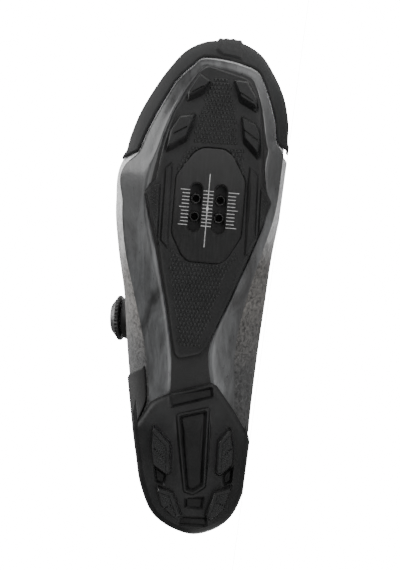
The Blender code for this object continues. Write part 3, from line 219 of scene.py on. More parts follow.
BADGE_OUTLINE = [(27.6, -20.6), (29.6, 3.3), (27.8, 4.1), (25.3, -20.0)]
WINDOW_OUTLINE = [(23.5, -14.2), (24.9, 0.9), (9.9, 1.3), (8.6, -4.1), (8.9, -7.7)]
SMALL_WINDOW_OUTLINE = [(7.2, -8.0), (7.4, 2.4), (5.2, 1.6), (5.2, -7.6)]
HEEL_LUGS = [
    [(20.9, -28.7), (17.7, -19.0), (12.2, -18.3), (12.0, -20.0), (13.6, -27.0), (16.8, -28.7)],
    [(21.4, 14.9), (17.9, 17.2), (14.7, 17.4), (12.4, 11.1), (12.7, 9.4), (18.9, 9.4)],
    [(9.0, -24.1), (8.1, -15.9), (3.9, -10.8), (3.4, -13.3), (5.5, -21.0)],
    [(9.9, 17.4), (8.7, 8.7), (3.9, 4.6), (3.4, 7.2), (5.5, 13.8)],
]
HEEL_RAMP = (0.20, 0.315)
CUP_SIDE = ((1.0 * MM, 0.62), (0.7 * MM, 0.25), (-0.4 * MM, 0.07), (-2.6 * MM, 0.0))
CLEAT_CENTRE = (65.8, -5.8)
CLEAT_TURN = math.radians(1.4)
GUARD_MEDIAL_END = 0.777
GUARD_LATERAL_END = 0.747
GUARD_LOW = -0.94
GUARD_TOP = 0.34
GUARD_TAPER = 26 * MM
GUARD_SLANT = 5 * MM
GUARD_TIP = -0.5
NUB_SIDES = (-5.2, 8.2)
COUNTER_MEDIAL_END = 0.185
COUNTER_LATERAL_END = 0.305
COUNTER_TOP = 0.74
COUNTER_SLANT = 8 * MM
DIAL_AT = (0.425, 0.20)
MEDIAL_LOOPS = (0.43, 0.53, 0.63)
LATERAL_LOOPS = (0.48, 0.58)
COVER_ROUTE = ((0.665, 0.0045), (0.655, 0.011), (0.63, 0.0165), (0.57, 0.0195), (0.51, 0.026), (0.475, 0.035))

# Grooves across lug tops, and fields of small moulded tabs, in millimetres of plan
GROOVES = [
    ((251.5, -18.5), (255.5, -12)), ((253, 9), (248.5, 16.5)), ((227, -27.5), (231.5, -20)),
    ((231.5, 12.5), (226, 20.5)),
]
HEEL_GROOVES = [
    ((48, -27.5), (43, -22)), ((46, 12.5), (50.5, 16.5)), ((16.5, -15), (14, -20)), ((19, 9.5), (17.5, 15)),
]
FRONT_FIELD = [(261.5, -7), (261.5, 2), (243, 7.5), (222, 9.5), (221, -17), (243, -13)]
BAY_SIDES = [
    [(221, -18), (221, -11), (215, -16.5), (206, -21), (203, -22.5), (206, -24.8)],
    [(221, 2), (221, 13), (206, 14.6), (203, 14.2), (212, 9)],
]
ARCH_FIELD = [
    (153.5, -26), (165, -25.2), (154, -17.5), (154, 4), (164.5, 13.2), (157, 13.2), (150, 8.5), (106, -5),
    (105, -17),
]
WING_FIELDS = [
    [(196.0, -33.8), (194.6, -37.2), (192.2, -39.2), (172, -33.8)],
    [(196.0, 24.8), (194.6, 25.8), (191.2, 27.9), (172, 24.9)],
]

# The heel lugs' smooth inner ridges, the scoops between the lugs, and the panel at the rear
HEEL_RIDGES = [(0, 1, 2), (4, 5, 0), (0, 1, 2), (0, 1, 2)]
HEEL_SCOOPS = [
    [(37.2, -26.6), (32.8, -20.2), (27.2, -20.6), (28.8, -25.2)],
    [(39.9, 17.8), (34.5, 12.8), (29.0, 13.4), (31.0, 17.4)],
]
REAR_PANEL = [(9.4, -9.5), (9.4, 4.5), (4.9, 5.2), (4.9, -11.0)]
RAIL_SECTION = (
    (0, 0.04, 0.2, 0.42, 0.62, 0.76, 0.86, 0.94, 1.0),
    (0, 0.08, 0.26, 0.55, 0.84, 1.02, 1.08, 1.02, 0.92),
)


# The last's surface


def smooth(knots, values, at):
    """A smooth curve through values at knots, by cubics whose slopes come from the three nearest points."""
    step = np.diff(knots)
    slope = np.diff(values) / step
    tangent = np.empty(len(knots))
    tangent[1:-1] = (slope[:-1] * step[1:] + slope[1:] * step[:-1]) / (step[1:] + step[:-1])
    tangent[0], tangent[-1] = slope[0], slope[-1]
    i = np.clip(np.searchsorted(knots, at, side="right") - 1, 0, len(step) - 1)
    q = (at - knots[i]) / step[i]
    return (
        values[i] * (1 + 2 * q) * (1 - q) ** 2
        + values[i + 1] * q * q * (3 - 2 * q)
        + step[i] * tangent[i] * q * (1 - q) ** 2
        - step[i] * tangent[i + 1] * q * q * (1 - q)
    )


def section_knots():
    along = np.diff(PLAN["along"]) * LAST_LENGTH
    across = np.diff(PLAN["medial"] - PLAN["lateral"]) / 2 * BALL_WIDTH
    return np.concatenate([[0], np.cumsum(np.hypot(along, across))])


KNOTS = section_knots()
TURN = KNOTS[-1]


def around(medial, lateral, t):
    """A closed smooth curve: medial rows from heel to toe at t = 0 to TURN, lateral rows back to 2 TURN."""
    ring = np.concatenate([medial, lateral[-2:0:-1]])
    knots = np.concatenate([KNOTS, 2 * TURN - KNOTS[-2:0:-1]])
    ring = np.concatenate([ring[-2:], ring, ring[:2]])
    knots = np.concatenate([knots[-2:] - 2 * TURN, knots, knots[:2] + 2 * TURN])
    return smooth(knots, ring, np.mod(t, 2 * TURN))


def side(column, x):
    return smooth(SIDE["along"] * LAST_LENGTH, SIDE[column], x)


def board(x):
    """Height of the sole board's top."""
    lift = (HEEL_STACK - FOREFOOT_STACK) * side("heel", x)
    return FOREFOOT_STACK + lift + TOE_SPRING * side("spring", x)


def outline(t):
    """The last's widest outline in plan."""
    x = around(PLAN["along"], PLAN["along"], t) * LAST_LENGTH
    return x, around(PLAN["medial"], PLAN["lateral"], t) * BALL_WIDTH


FINE_T = np.linspace(0, TURN, 6001)
FINE_X = around(PLAN["along"], PLAN["along"], FINE_T) * LAST_LENGTH


def t_at(x):
    """The medial t whose section lies at x."""
    return np.interp(x, FINE_X, FINE_T)


def middle(t):
    """The middle line in plan, which every section of the last and sole runs to."""
    x, _ = outline(t)
    x = np.clip(x, HEEL_CENTRE * LAST_LENGTH, TOE_CENTRE * LAST_LENGTH)
    at = t_at(x)
    _, medial = outline(at)
    _, lateral = outline(2 * TURN - at)
    return x, lateral + (medial - lateral) * CROWN_SHARE


def moved_out(x, y, t, distance):
    """Plan points at stations t, moved away from the middle line."""
    middle_x, middle_y = middle(t)
    far = np.hypot(x - middle_x, y - middle_y)
    return x + (x - middle_x) / far * distance, y + (y - middle_y) / far * distance


def rows_in(x, y, t, share):
    """Rows of plan points at shares of the way from an edge at stations t to the middle line."""
    middle_x, middle_y = middle(t)
    across = (middle_x - x)[:, None] * share, (middle_y - y)[:, None] * share
    return x[:, None] + across[0], y[:, None] + across[1]


def sole_edge(t, lip=0.0):
    """The edge of the sole board in plan, grown by lip away from the middle line."""
    x = around(PLAN["edge_along_medial"], PLAN["edge_along_lateral"], t) * LAST_LENGTH
    y = around(PLAN["edge_medial"], PLAN["edge_lateral"], t) * BALL_WIDTH
    return moved_out(x, y, t, lip)


def crown(x):
    return board(x) + INSTEP_HEIGHT * side("crown", x)


def crown_fall(x):
    """The crown line's slope."""
    step = 0.5 * MM
    return (crown(x + step) - crown(x - step)) / (2 * step)


def widest(x):
    """Height of the last's widest outline."""
    return board(x) + INSTEP_HEIGHT * side("bulge", x)


def w_over(share):
    """The w whose section lies at a share of the way out from the crown line."""
    return np.arccos(share ** (SQUARENESS / 2)) * 2 / math.pi


def wall(t, w):
    """The last's surface: w = -1 at the sole board's edge, 0 at the widest outline, 1 on the crown line."""
    t, w = np.broadcast_arrays(np.asarray(t, float), np.asarray(w, float))
    x, y = outline(t)
    edge_x, edge_y = sole_edge(t)
    middle_x, middle_y = middle(t)
    low, wide = board(edge_x) + GAP, widest(x)
    k = np.clip(-w, 0, None)
    angle = np.clip(w, 0, 1) * math.pi / 2
    out = np.clip(np.cos(angle), 0, 1) ** (2 / SQUARENESS)
    up = np.sin(angle) ** (2 / SQUARENESS)
    fall = crown_fall(middle_x)
    toe_x = np.clip((x - middle_x) * out, 0, None)
    upper = np.stack(
        [
            middle_x + (x - middle_x) * out,
            middle_y + (y - middle_y) * out,
            wide + (crown(middle_x) - wide) * up + fall * toe_x * up,
        ],
        -1,
    )
    lower = np.stack(
        [x + (edge_x - x) * k**2, y + (edge_y - y) * k**2, wide - (wide - low) * k],
        -1,
    )
    return np.where((w < 0)[..., None], lower, upper)


def wall_normal(t, w):
    t, w = np.broadcast_arrays(np.asarray(t, float), np.asarray(w, float))
    dt, dw = 0.4 * MM, 0.004
    above = np.clip(w + dw, None, 0.995)
    along = wall(t + dt, np.clip(w, None, 0.99)) - wall(t - dt, np.clip(w, None, 0.99))
    normal = np.cross(wall(t, above) - wall(t, above - 2 * dw), along)
    middle_x, _ = middle(t)
    fall = crown_fall(middle_x)
    top = np.stack([-fall, np.zeros_like(fall), np.ones_like(fall)], -1)
    normal = np.where((w > 0.995)[..., None], top, normal)
    return normal / np.linalg.norm(normal, axis=-1, keepdims=True)


def off_wall(t, w, distance):
    return wall(t, w) + wall_normal(t, w) * np.asarray(distance)[..., None]


def throat_half(x):
    """Half the throat's width at x, closing in a round end."""
    start = (THROAT_FRONT - THROAT_FRONT_RADIUS) * LAST_LENGTH
    past = np.clip((x - start) / (THROAT_FRONT_RADIUS * LAST_LENGTH), 0, 1)
    return smooth(THROAT["along"] * LAST_LENGTH, THROAT["half"], x) * BALL_WIDTH * np.sqrt(1 - past**2)


def top_edge(t):
    """The w where the upper ends: at the collar, at the throat, or 1 where it closes over the toes."""
    x, y = outline(t)
    middle_x, middle_y = middle(t)
    wide = widest(x)
    rim = board(x) + INSTEP_HEIGHT * smooth(COLLAR["along"] * LAST_LENGTH, COLLAR["height"], x)
    up = np.clip((rim - wide) / (crown(middle_x) - wide), 0, 1)
    collar = np.arcsin(up ** (SQUARENESS / 2)) * 2 / math.pi
    out = np.clip(throat_half(x) / np.hypot(x - middle_x, y - middle_y), 0, 1)
    throat = w_over(out)
    beyond_collar = x > COLLAR["along"][-1] * LAST_LENGTH
    return np.where(beyond_collar, throat, np.minimum(collar, throat))


def ramp(start, end, at):
    """Rises smoothly from 0 at start to 1 at end."""
    share = np.clip((at - start) / (end - start), 0, 1)
    return share * share * (3 - 2 * share)


def bell(centre, width, at):
    return np.exp(-(((at - centre) / width) ** 2))


def limited(points, below):
    """Points held off the floor by the thickness that lies on them."""
    made = np.array(points)
    row = POSE[2]
    limit = (row[0] * made[..., 0] + row[2] * made[..., 2] + row[3]) / -row[1]
    made[..., 1] = np.minimum(made[..., 1], limit - below)
    return made


def fine_columns(count):
    """Stations all round, the two sides mirrored, and denser at the throat's front."""
    medial = np.linspace(0, TURN, count // 2, endpoint=False)
    front = THROAT_FRONT - THROAT_FRONT_RADIUS * (1 - np.sin(np.linspace(0, math.pi / 2, 16)))
    extra = t_at(front * LAST_LENGTH)
    medial = medial[np.abs(medial[:, None] - extra).min(1) > 0.15 * MM]
    medial = np.sort(np.concatenate([medial, extra]))
    return np.concatenate([medial, [TURN], 2 * TURN - medial[:0:-1]])


def covered(t):
    """The depth of the overlays that lie on the upper at its medial side."""
    x = outline(t)[0] / LAST_LENGTH
    counter = (COUNTER_THICKNESS + 2 * OVERLAY_GAP) * (1 - ramp(COUNTER_MEDIAL_END + 0.01, 0.24, x))
    guard = (GUARD_THICKNESS + 1.6 * GUARD_GAP) * ramp(GUARD_MEDIAL_END - 0.016, GUARD_MEDIAL_END, x)
    return (counter + guard) * (t < TURN)


def station(x, medial):
    t = t_at(np.asarray(x, float))
    return np.where(medial, t, 2 * TURN - t)


def below_throat(x, medial, distance):
    """The w at a distance down the wall from the throat's edge."""
    t = station(x, medial)
    w = top_edge(t)
    for _ in range(12):
        rate = np.linalg.norm(wall(t, w) - wall(t, w - 0.01), axis=-1) / 0.01
        w = w - distance / 12 / rate
    return w


def on_flap(x, medial, distance, height):
    """A point on the upper beside the throat."""
    w = below_throat(x, medial, distance)
    return off_wall(station(x, medial), w, np.asarray(height, float))


def flow(points, spacing):
    """Points at even spacing along a smooth curve through the given ones."""
    points = np.array(points)
    knots = np.concatenate([[0], np.cumsum(np.sqrt(np.linalg.norm(np.diff(points, axis=0), axis=1)))])
    fine = np.linspace(0, knots[-1], 2400)
    curve = np.stack([smooth(knots, points[:, i], fine) for i in range(3)], -1)
    length = np.concatenate([[0], np.cumsum(np.linalg.norm(np.diff(curve, axis=0), axis=1))])
    at = np.linspace(0, length[-1], int(length[-1] / spacing) + 2)
    return np.stack([np.interp(at, length, curve[:, i]) for i in range(3)], -1)


def dial_frame():
    """Where the dial's axis leaves the wall, and its direction."""
    t = station(DIAL_AT[0] * LAST_LENGTH, False)
    w = np.asarray(DIAL_AT[1])
    return Vector(wall(t, w)), Vector(wall_normal(t, w))


# Materials


class Paint:
    """A procedural material, with short ways to add its nodes."""

    def __init__(self, name, roughness=0.5, metallic=0.0, specular=0.5):
        self.made = bpy.data.materials.new(name)
        self.made.use_nodes = True
        self.tree = self.made.node_tree
        self.shader = self.tree.nodes["Principled BSDF"]
        self.set(Roughness=roughness, Metallic=metallic, **{"Specular IOR Level": specular})
        world = self.tree.nodes.new("ShaderNodeTexCoord").outputs["Object"]
        back = POSE.inverted()
        inputs = {"Vector": world, "Location": back.to_translation(), "Rotation": tuple(back.to_euler())}
        self.where = self.node("Mapping", inputs)

    def set(self, **sockets):
        for name, value in sockets.items():
            self.plug(self.shader.inputs[name.replace("_", " ")], value)

    def plug(self, socket, value):
        if isinstance(value, bpy.types.NodeSocket):
            self.tree.links.new(value, socket)
        elif socket.type == "RGBA":
            socket.default_value = (*value, 1)
        else:
            socket.default_value = value

    def node(self, kind, inputs, output=0, **settings):
        made = self.tree.nodes.new("ShaderNode" + kind)
        for key, value in settings.items():
            setattr(made, key, value)
        for key, value in inputs.items():
            self.plug(made.inputs[key], value)
        return made.outputs[output]

    def scaled(self, scale, turn=0.0):
        return self.node("Mapping", {0: self.where, "Rotation": (0, 0, turn), "Scale": scale})

    def noise(self, scale, detail=3.0, rough=0.5, distortion=0.0, turn=0.0):
        """Noise whose scale is a size in metres, or one size for each axis."""
        sizes = scale if isinstance(scale, tuple) else (scale,) * 3
        where = self.scaled(tuple(1 / s for s in sizes), turn)
        inputs = {"Vector": where, "Scale": 1.0, "Detail": detail}
        return self.node("TexNoise", {**inputs, "Roughness": rough, "Distortion": distortion})

    def along(self, axis):
        parts = self.tree.nodes.new("ShaderNodeSeparateXYZ")
        self.plug(parts.inputs[0], self.where)
        return parts.outputs["XYZ".index(axis)]

    def wave(self, axis, period):
        """A sine along one axis of the shoe, from -1 to 1."""
        return self.math("SINE", self.math("MULTIPLY", self.along(axis), 2 * math.pi / period))

    def math(self, operation, a, b=0.0, c=0.0):
        return self.node("Math", {0: a, 1: b, 2: c}, operation=operation)

    def span(self, value, low, high, to_low=0.0, to_high=1.0):
        inputs = {0: value, 1: low, 2: high, 3: to_low, 4: to_high}
        return self.node("MapRange", inputs)

    def mix(self, share, a, b):
        made = self.tree.nodes.new("ShaderNodeMix")
        made.data_type = "RGBA"
        self.plug(made.inputs[0], share)
        self.plug(made.inputs[6], a)
        self.plug(made.inputs[7], b)
        return made.outputs[2]

    def bump(self, *layers):
        """Bumps on top of each other, each (height, depth in metres)."""
        normal = None
        for height, depth in layers:
            inputs = {"Height": height, "Distance": depth, "Strength": 1.0}
            if normal is not None:
                inputs["Normal"] = normal
            normal = self.node("Bump", inputs)
        self.set(Normal=normal)

    def attribute(self, name):
        return self.node("Attribute", {}, 2, attribute_name=name)


def grey(level, warm=0.0):
    """A linear grey from an 8-bit display level, a little warmer or cooler."""
    value = (level / 255) ** 2.2
    return (value * (1 + warm), value, value * (1 - warm))


def rubber(name, level, rough=0.55, gloss=0.3):
    paint = Paint(name, rough, 0.0, gloss)
    dust = paint.noise(14 * MM, 4, 0.6)
    fine = paint.noise(0.5 * MM, 2)
    dark, pale = grey(level - 4, -0.01), grey(level + 5, -0.015)
    paint.set(Base_Color=paint.mix(paint.span(dust, 0.3, 0.7), dark, pale))
    paint.set(Roughness=paint.span(dust, 0.3, 0.7, rough - 0.06, rough + 0.08))
    paint.bump((fine, 0.05 * MM))
    return paint.made


def composite():
    """Glossy dark fibre composite with cloudy, marbled streaks."""
    paint = Paint("marbled_composite", 0.3, 0.0, 0.6)
    cloud = paint.noise((46 * MM, 13 * MM, 20 * MM), 3, 0.55, 1.1, 0.12)
    vein = paint.noise((22 * MM, 4.5 * MM, 9 * MM), 5, 0.6, 2.2, -0.2)
    share = paint.math("MULTIPLY", paint.span(cloud, 0.32, 0.68), paint.span(vein, 0.25, 0.7, 0.55, 1.0))
    toe = paint.span(paint.along("X"), 0.180, 0.202, 1.0, 0.4)
    share = paint.math("MULTIPLY", share, toe)
    paint.set(Base_Color=paint.mix(share, grey(40, -0.02), grey(108, -0.025)))
    paint.set(Roughness=paint.span(vein, 0.3, 0.7, 0.26, 0.38))
    paint.set(Coat_Weight=0.5, Coat_Roughness=0.16)
    paint.bump((paint.noise(6 * MM, 2), 0.15 * MM), (paint.noise(0.35 * MM, 1), 0.006 * MM))
    return paint.made


def textile():
    """Mottled knit, silvery at the forefoot, brown-grey at the waist, dark grey at the heel."""
    paint = Paint("mottled_textile", 0.6, 0.0, 0.3)
    x = paint.along("X")
    blot = paint.noise((2.6 * MM, 2.6 * MM, 2.6 * MM), 3, 0.65, 0.8)
    patch = paint.noise(30 * MM, 3, 0.55)
    nudged = paint.math("ADD", x, paint.span(patch, 0.3, 0.7, -8 * MM, 8 * MM))
    speck = paint.span(blot, 0.34, 0.66)
    heel = paint.mix(speck, grey(52, 0.0), grey(98, 0.0))
    waist = paint.mix(speck, grey(64, 0.06), grey(134, 0.045))
    toe = paint.mix(speck, grey(188, 0.0), grey(244, -0.005))
    color = paint.mix(paint.span(nudged, 0.100, 0.128), heel, waist)
    color = paint.mix(paint.span(nudged, 0.150, 0.182), color, toe)
    rim = paint.attribute("rim")
    film = paint.math("MULTIPLY", paint.span(rim, 0.0085, 0.0080), paint.span(x, 0.112, 0.118))
    paint.set(Base_Color=paint.mix(film, color, grey(46)))
    knit = paint.math("MULTIPLY", paint.wave("X", 0.9 * MM), paint.wave("Z", 0.8 * MM))
    paint.set(Roughness=paint.span(blot, 0.3, 0.7, 0.5, 0.7))
    paint.set(Sheen_Weight=0.15)
    paint.bump((blot, 0.25 * MM), (knit, 0.05 * MM))
    return paint.made


def lining(name="padded_lining", level=38):
    paint = Paint(name, 0.9, 0.0, 0.2)
    mesh = paint.math("MULTIPLY", paint.wave("X", 1.3 * MM), paint.wave("Z", 1.3 * MM))
    blot = paint.noise(8 * MM, 3)
    paint.set(Base_Color=paint.mix(paint.span(blot, 0.3, 0.7), grey(level - 6), grey(level + 8)))
    paint.set(Sheen_Weight=0.3)
    paint.bump((mesh, 0.12 * MM), (paint.noise(0.6 * MM, 2), 0.05 * MM))
    return paint.made


def film(name, level, rough=0.5):
    """Welded film or coated webbing, with a fine grain."""
    paint = Paint(name, rough, 0.0, 0.4)
    grain = paint.noise(0.8 * MM, 3, 0.6)
    broad = paint.noise(22 * MM, 2)
    paint.set(Base_Color=paint.mix(paint.span(broad, 0.3, 0.7), grey(level - 4), grey(level + 6)))
    paint.set(Roughness=paint.span(grain, 0.3, 0.7, rough - 0.05, rough + 0.1))
    paint.bump((grain, 0.05 * MM))
    return paint.made


def webbing(name, level):
    paint = Paint(name, 0.8, 0.0, 0.25)
    weave = paint.math("MULTIPLY", paint.wave("X", 0.7 * MM), paint.wave("Y", 0.7 * MM))
    paint.set(Base_Color=paint.mix(paint.span(weave, -1, 1), grey(level - 12), grey(level + 12)))
    paint.bump((weave, 0.15 * MM))
    return paint.made


def moulded(name, level, rough, metallic=0.0):
    paint = Paint(name, rough, metallic, 0.5)
    grain = paint.noise(0.4 * MM, 2)
    broad = paint.noise(18 * MM, 3)
    paint.set(Base_Color=paint.mix(paint.span(broad, 0.3, 0.7), grey(level - 5), grey(level + 5)))
    paint.set(Roughness=paint.span(broad, 0.3, 0.7, rough - 0.06, rough + 0.08))
    paint.bump((grain, 0.012 * MM))
    return paint.made


def insert():
    """The cleat plate: satin plastic, a little lighter towards the toe, with faint scuffs along it."""
    paint = Paint("cleat_insert_satin", 0.42, 0.0, 0.3)
    scuff = paint.noise((14 * MM, 1.2 * MM, 5 * MM), 4, 0.6)
    front = paint.span(paint.along("X"), 0.175, 0.218)
    color = paint.mix(front, grey(24), grey(50))
    paint.set(Base_Color=paint.mix(paint.span(scuff, 0.45, 0.75, 0.0, 0.2), color, grey(66)))
    paint.set(Roughness=paint.span(scuff, 0.3, 0.7, 0.36, 0.5))
    paint.bump((paint.noise(0.4 * MM, 2), 0.015 * MM))
    return paint.made


def braid():
    paint = Paint("braided_cable", 0.45, 0.1, 0.4)
    weave = paint.math("MULTIPLY", paint.wave("X", 0.8 * MM), paint.wave("Y", 0.8 * MM))
    paint.set(Base_Color=paint.mix(paint.span(weave, -1, 1), grey(48), grey(92)))
    paint.bump((weave, 0.08 * MM))
    return paint.made


def print_white():
    paint = Paint("scale_print", 0.55)
    wear = paint.noise(1.6 * MM, 3, 0.6)
    paint.set(Base_Color=paint.mix(paint.span(wear, 0.35, 0.6), grey(142), grey(186)))
    return paint.made


TREAD = rubber("tread_rubber_matte", 32, 0.48)
# A lighter copy of the tread rubber for the small raised tabs: painted light on the tabs, against the darker
# gaps between them
TAB_PAINTED_LIGHT = rubber("tread_tabs_painted_light", 46)
HEEL_RUBBER = rubber("heel_rubber", 34, 0.34)
# A darker copy of the heel rubber for the floors of the windows, scoops, rear panel and badge: painted shade
# in these recesses, on the badge partly its own black
HEEL_RECESS_SHADE = rubber("heel_recess", 20, 0.4)
GUARD = rubber("toe_guard_rubber", 46, 0.7, 0.15)
BOARD = composite()
BOARD_MATTE = film("matte_board_centre", 34, 0.55)
TEXTILE = textile()
LINING = lining()
FILM = film("counter_film", 24, 0.6)
COVER_FILM = film("cover_film", 36)
WEB = webbing("loop_webbing", 52)
THREAD = webbing("stitch_thread", 96)
INSERT = insert()
PRINT = print_white()
NUT = moulded("blackened_steel", 20, 0.5, 0.0)
NUT_EDGE = moulded("steel_edges", 120, 0.35, 0.8)
DIAL_BODY = moulded("dial_body", 36, 0.42)
DIAL_RIM = moulded("dial_rim", 60, 0.4)
CABLE = braid()
FOAM = lining("insole_cover", 46)


# Meshes


def linked(name, data):
    made = bpy.data.objects.new(name, data)
    bpy.context.scene.collection.objects.link(made)
    return made


def put(name, mesh, materials, nodes=(), angle=32):
    """Turns a bmesh in the shoe's frame into a piece that rides on the part."""
    bmesh.ops.recalc_face_normals(mesh, faces=mesh.faces)
    data = bpy.data.meshes.new(name)
    mesh.to_mesh(data)
    mesh.free()
    data.transform(POSE)
    data.shade_smooth()
    data.set_sharp_from_angle(angle=math.radians(angle))
    made = linked(name, data)
    for material in materials:
        data.materials.append(material)
    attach(made, "root")
    if nodes:
        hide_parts(*nodes)
    return made


def surface(mesh, points, closed=False, material=None, skip=None, layer=None, values=None):
    """Quads over a grid of points, one row of the grid for each column of the shoe."""
    grid = [[mesh.verts.new(p) for p in path] for path in points]
    if layer is not None:
        for path, row in zip(grid, values):
            for vertex, value in zip(path, row):
                vertex[layer] = float(value)
    count = len(grid)
    for i in range(count if closed else count - 1):
        a, b = grid[i], grid[(i + 1) % count]
        for j in range(len(a) - 1):
            if skip is not None and skip(i, (i + 1) % count, j):
                continue
            face = mesh.faces.new((a[j], b[j], b[j + 1], a[j + 1]))
            if material is not None:
                face.material_index = material(i, j)
    return grid


def cleaned(mesh):
    bmesh.ops.remove_doubles(mesh, verts=mesh.verts, dist=WELD)


def side_walls(mesh, top, bottom):
    """Faces between two grids along the first and last point of every row."""
    for j in (0, -1):
        for a, b, c, d in zip(top, top[1:], bottom, bottom[1:]):
            mesh.faces.new((a[j], b[j], d[j], c[j]))


def end_walls(mesh, top, bottom):
    """Faces between two grids along their first and last rows."""
    for first, second in ((top[0], bottom[0]), (top[-1], bottom[-1])):
        for j in range(len(first) - 1):
            mesh.faces.new((first[j], first[j + 1], second[j + 1], second[j]))


def ring_walls(mesh, rings, closed=False, marked=()):
    """Faces from each ring of vertices to the next one. Marked steps take the second material."""
    for k, (a, b) in enumerate(zip(rings, rings[1:] + (rings[:1] if closed else []))):
        for i in range(len(a)):
            j = (i + 1) % len(a)
            mesh.faces.new((a[i], a[j], b[j], b[i])).material_index = int(k in marked)


def plan(points):
    return [(a / 100 * LAST_LENGTH, c / 100 * BALL_WIDTH) for a, c in points]


def in_mm(points):
    return [(x * MM, y * MM) for x, y in points]


def grown(points, distance):
    """A plan polygon with each side moved out by distance."""
    corners = [Vector(p) for p in points]
    area = sum(p.x * q.y - q.x * p.y for p, q in zip(corners, corners[1:] + corners[:1]))
    turn = 1 if area > 0 else -1
    made = []
    for before, here, after in zip(corners[-1:] + corners[:-1], corners, corners[1:] + corners[:1]):
        first = (here - before).normalized()
        second = (after - here).normalized()
        out_first = Vector((first.y, -first.x)) * turn
        out_second = Vector((second.y, -second.x)) * turn
        bisector = (out_first + out_second).normalized()
        moved = here + bisector * distance / max(0.35, bisector.dot(out_first))
        made.append((moved.x, moved.y))
    return made


def eased(points, radius, steps=4):
    """A plan polygon with its corners rounded."""
    corners = [Vector(p) for p in points]
    made = []
    for before, here, after in zip(corners[-1:] + corners[:-1], corners, corners[1:] + corners[:1]):
        back, on = before - here, after - here
        reach = min(radius, 0.45 * back.length, 0.45 * on.length)
        start, end = here + back.normalized() * reach, here + on.normalized() * reach
        for i in range(steps + 1):
            q = i / steps
            point = start * (1 - q) ** 2 + here * (2 * q * (1 - q)) + end * q * q
            made.append((point.x, point.y))
    return made


def stadium(centre, length, width, turn, steps=14):
    """The outline of a slot with round ends."""
    radius = width / 2
    reach = length / 2 - radius
    points = []
    for side_of, start in ((1, -90), (-1, 90)):
        for i in range(steps + 1):
            angle = math.radians(start + 180 * i / steps)
            points.append((side_of * reach + radius * math.cos(angle), radius * math.sin(angle)))
    turned = [Matrix.Rotation(turn, 2) @ Vector(p) for p in points]
    return [(centre[0] + p.x, centre[1] + p.y) for p in turned]


def cleat_line(offset, along):
    centre = Vector(plan([CLEAT_CENTRE])[0])
    return tuple(centre + Matrix.Rotation(CLEAT_TURN, 2) @ Vector((along, offset)))


def slots(growth=0.0):
    return [
        stadium(cleat_line(offset, 0), SLOT_LENGTH + 2 * growth, SLOT_WIDTH + 2 * growth, CLEAT_TURN)
        for offset in (-SLOT_SPACING / 2, SLOT_SPACING / 2)
    ]


def inside(points, polygon):
    """Signed distance of plan points to a closed polygon, positive inside it."""
    points = np.asarray(points, float)
    a = np.array(polygon, float)
    edge = np.roll(a, -1, 0) - a
    best = np.full(len(points), np.inf)
    crossings = np.zeros(len(points), int)
    for corner, along in zip(a, edge):
        if along @ along < 1e-16:
            continue
        to = points - corner
        share = np.clip(to @ along / (along @ along), 0, 1)
        best = np.minimum(best, np.linalg.norm(to - share[:, None] * along, axis=1))
        end = corner + along
        spans = (corner[1] > points[:, 1]) != (end[1] > points[:, 1])
        height = along[1] if abs(along[1]) > 1e-12 else 1e-12
        x = corner[0] + (points[:, 1] - corner[1]) * along[0] / height
        crossings += spans & (points[:, 0] < x)
    return np.where(crossings % 2 == 1, best, -best)


def level(points, loops):
    """How high a form stands at plan points: its loops run from the foot inwards, each with its level."""
    depth = [inside(points, polygon) for polygon, _ in loops]
    made = np.full(len(points), 0.0) + loops[0][1]
    for (_, low), (_, high), outer, inner in zip(loops, loops[1:], depth, depth[1:]):
        share = np.clip(outer / np.maximum(outer - inner, 1e-9), 0, 1)
        made = np.where(outer > 0, low + (high - low) * share, made)
    return np.where(depth[0] > 0, made, 0.0)


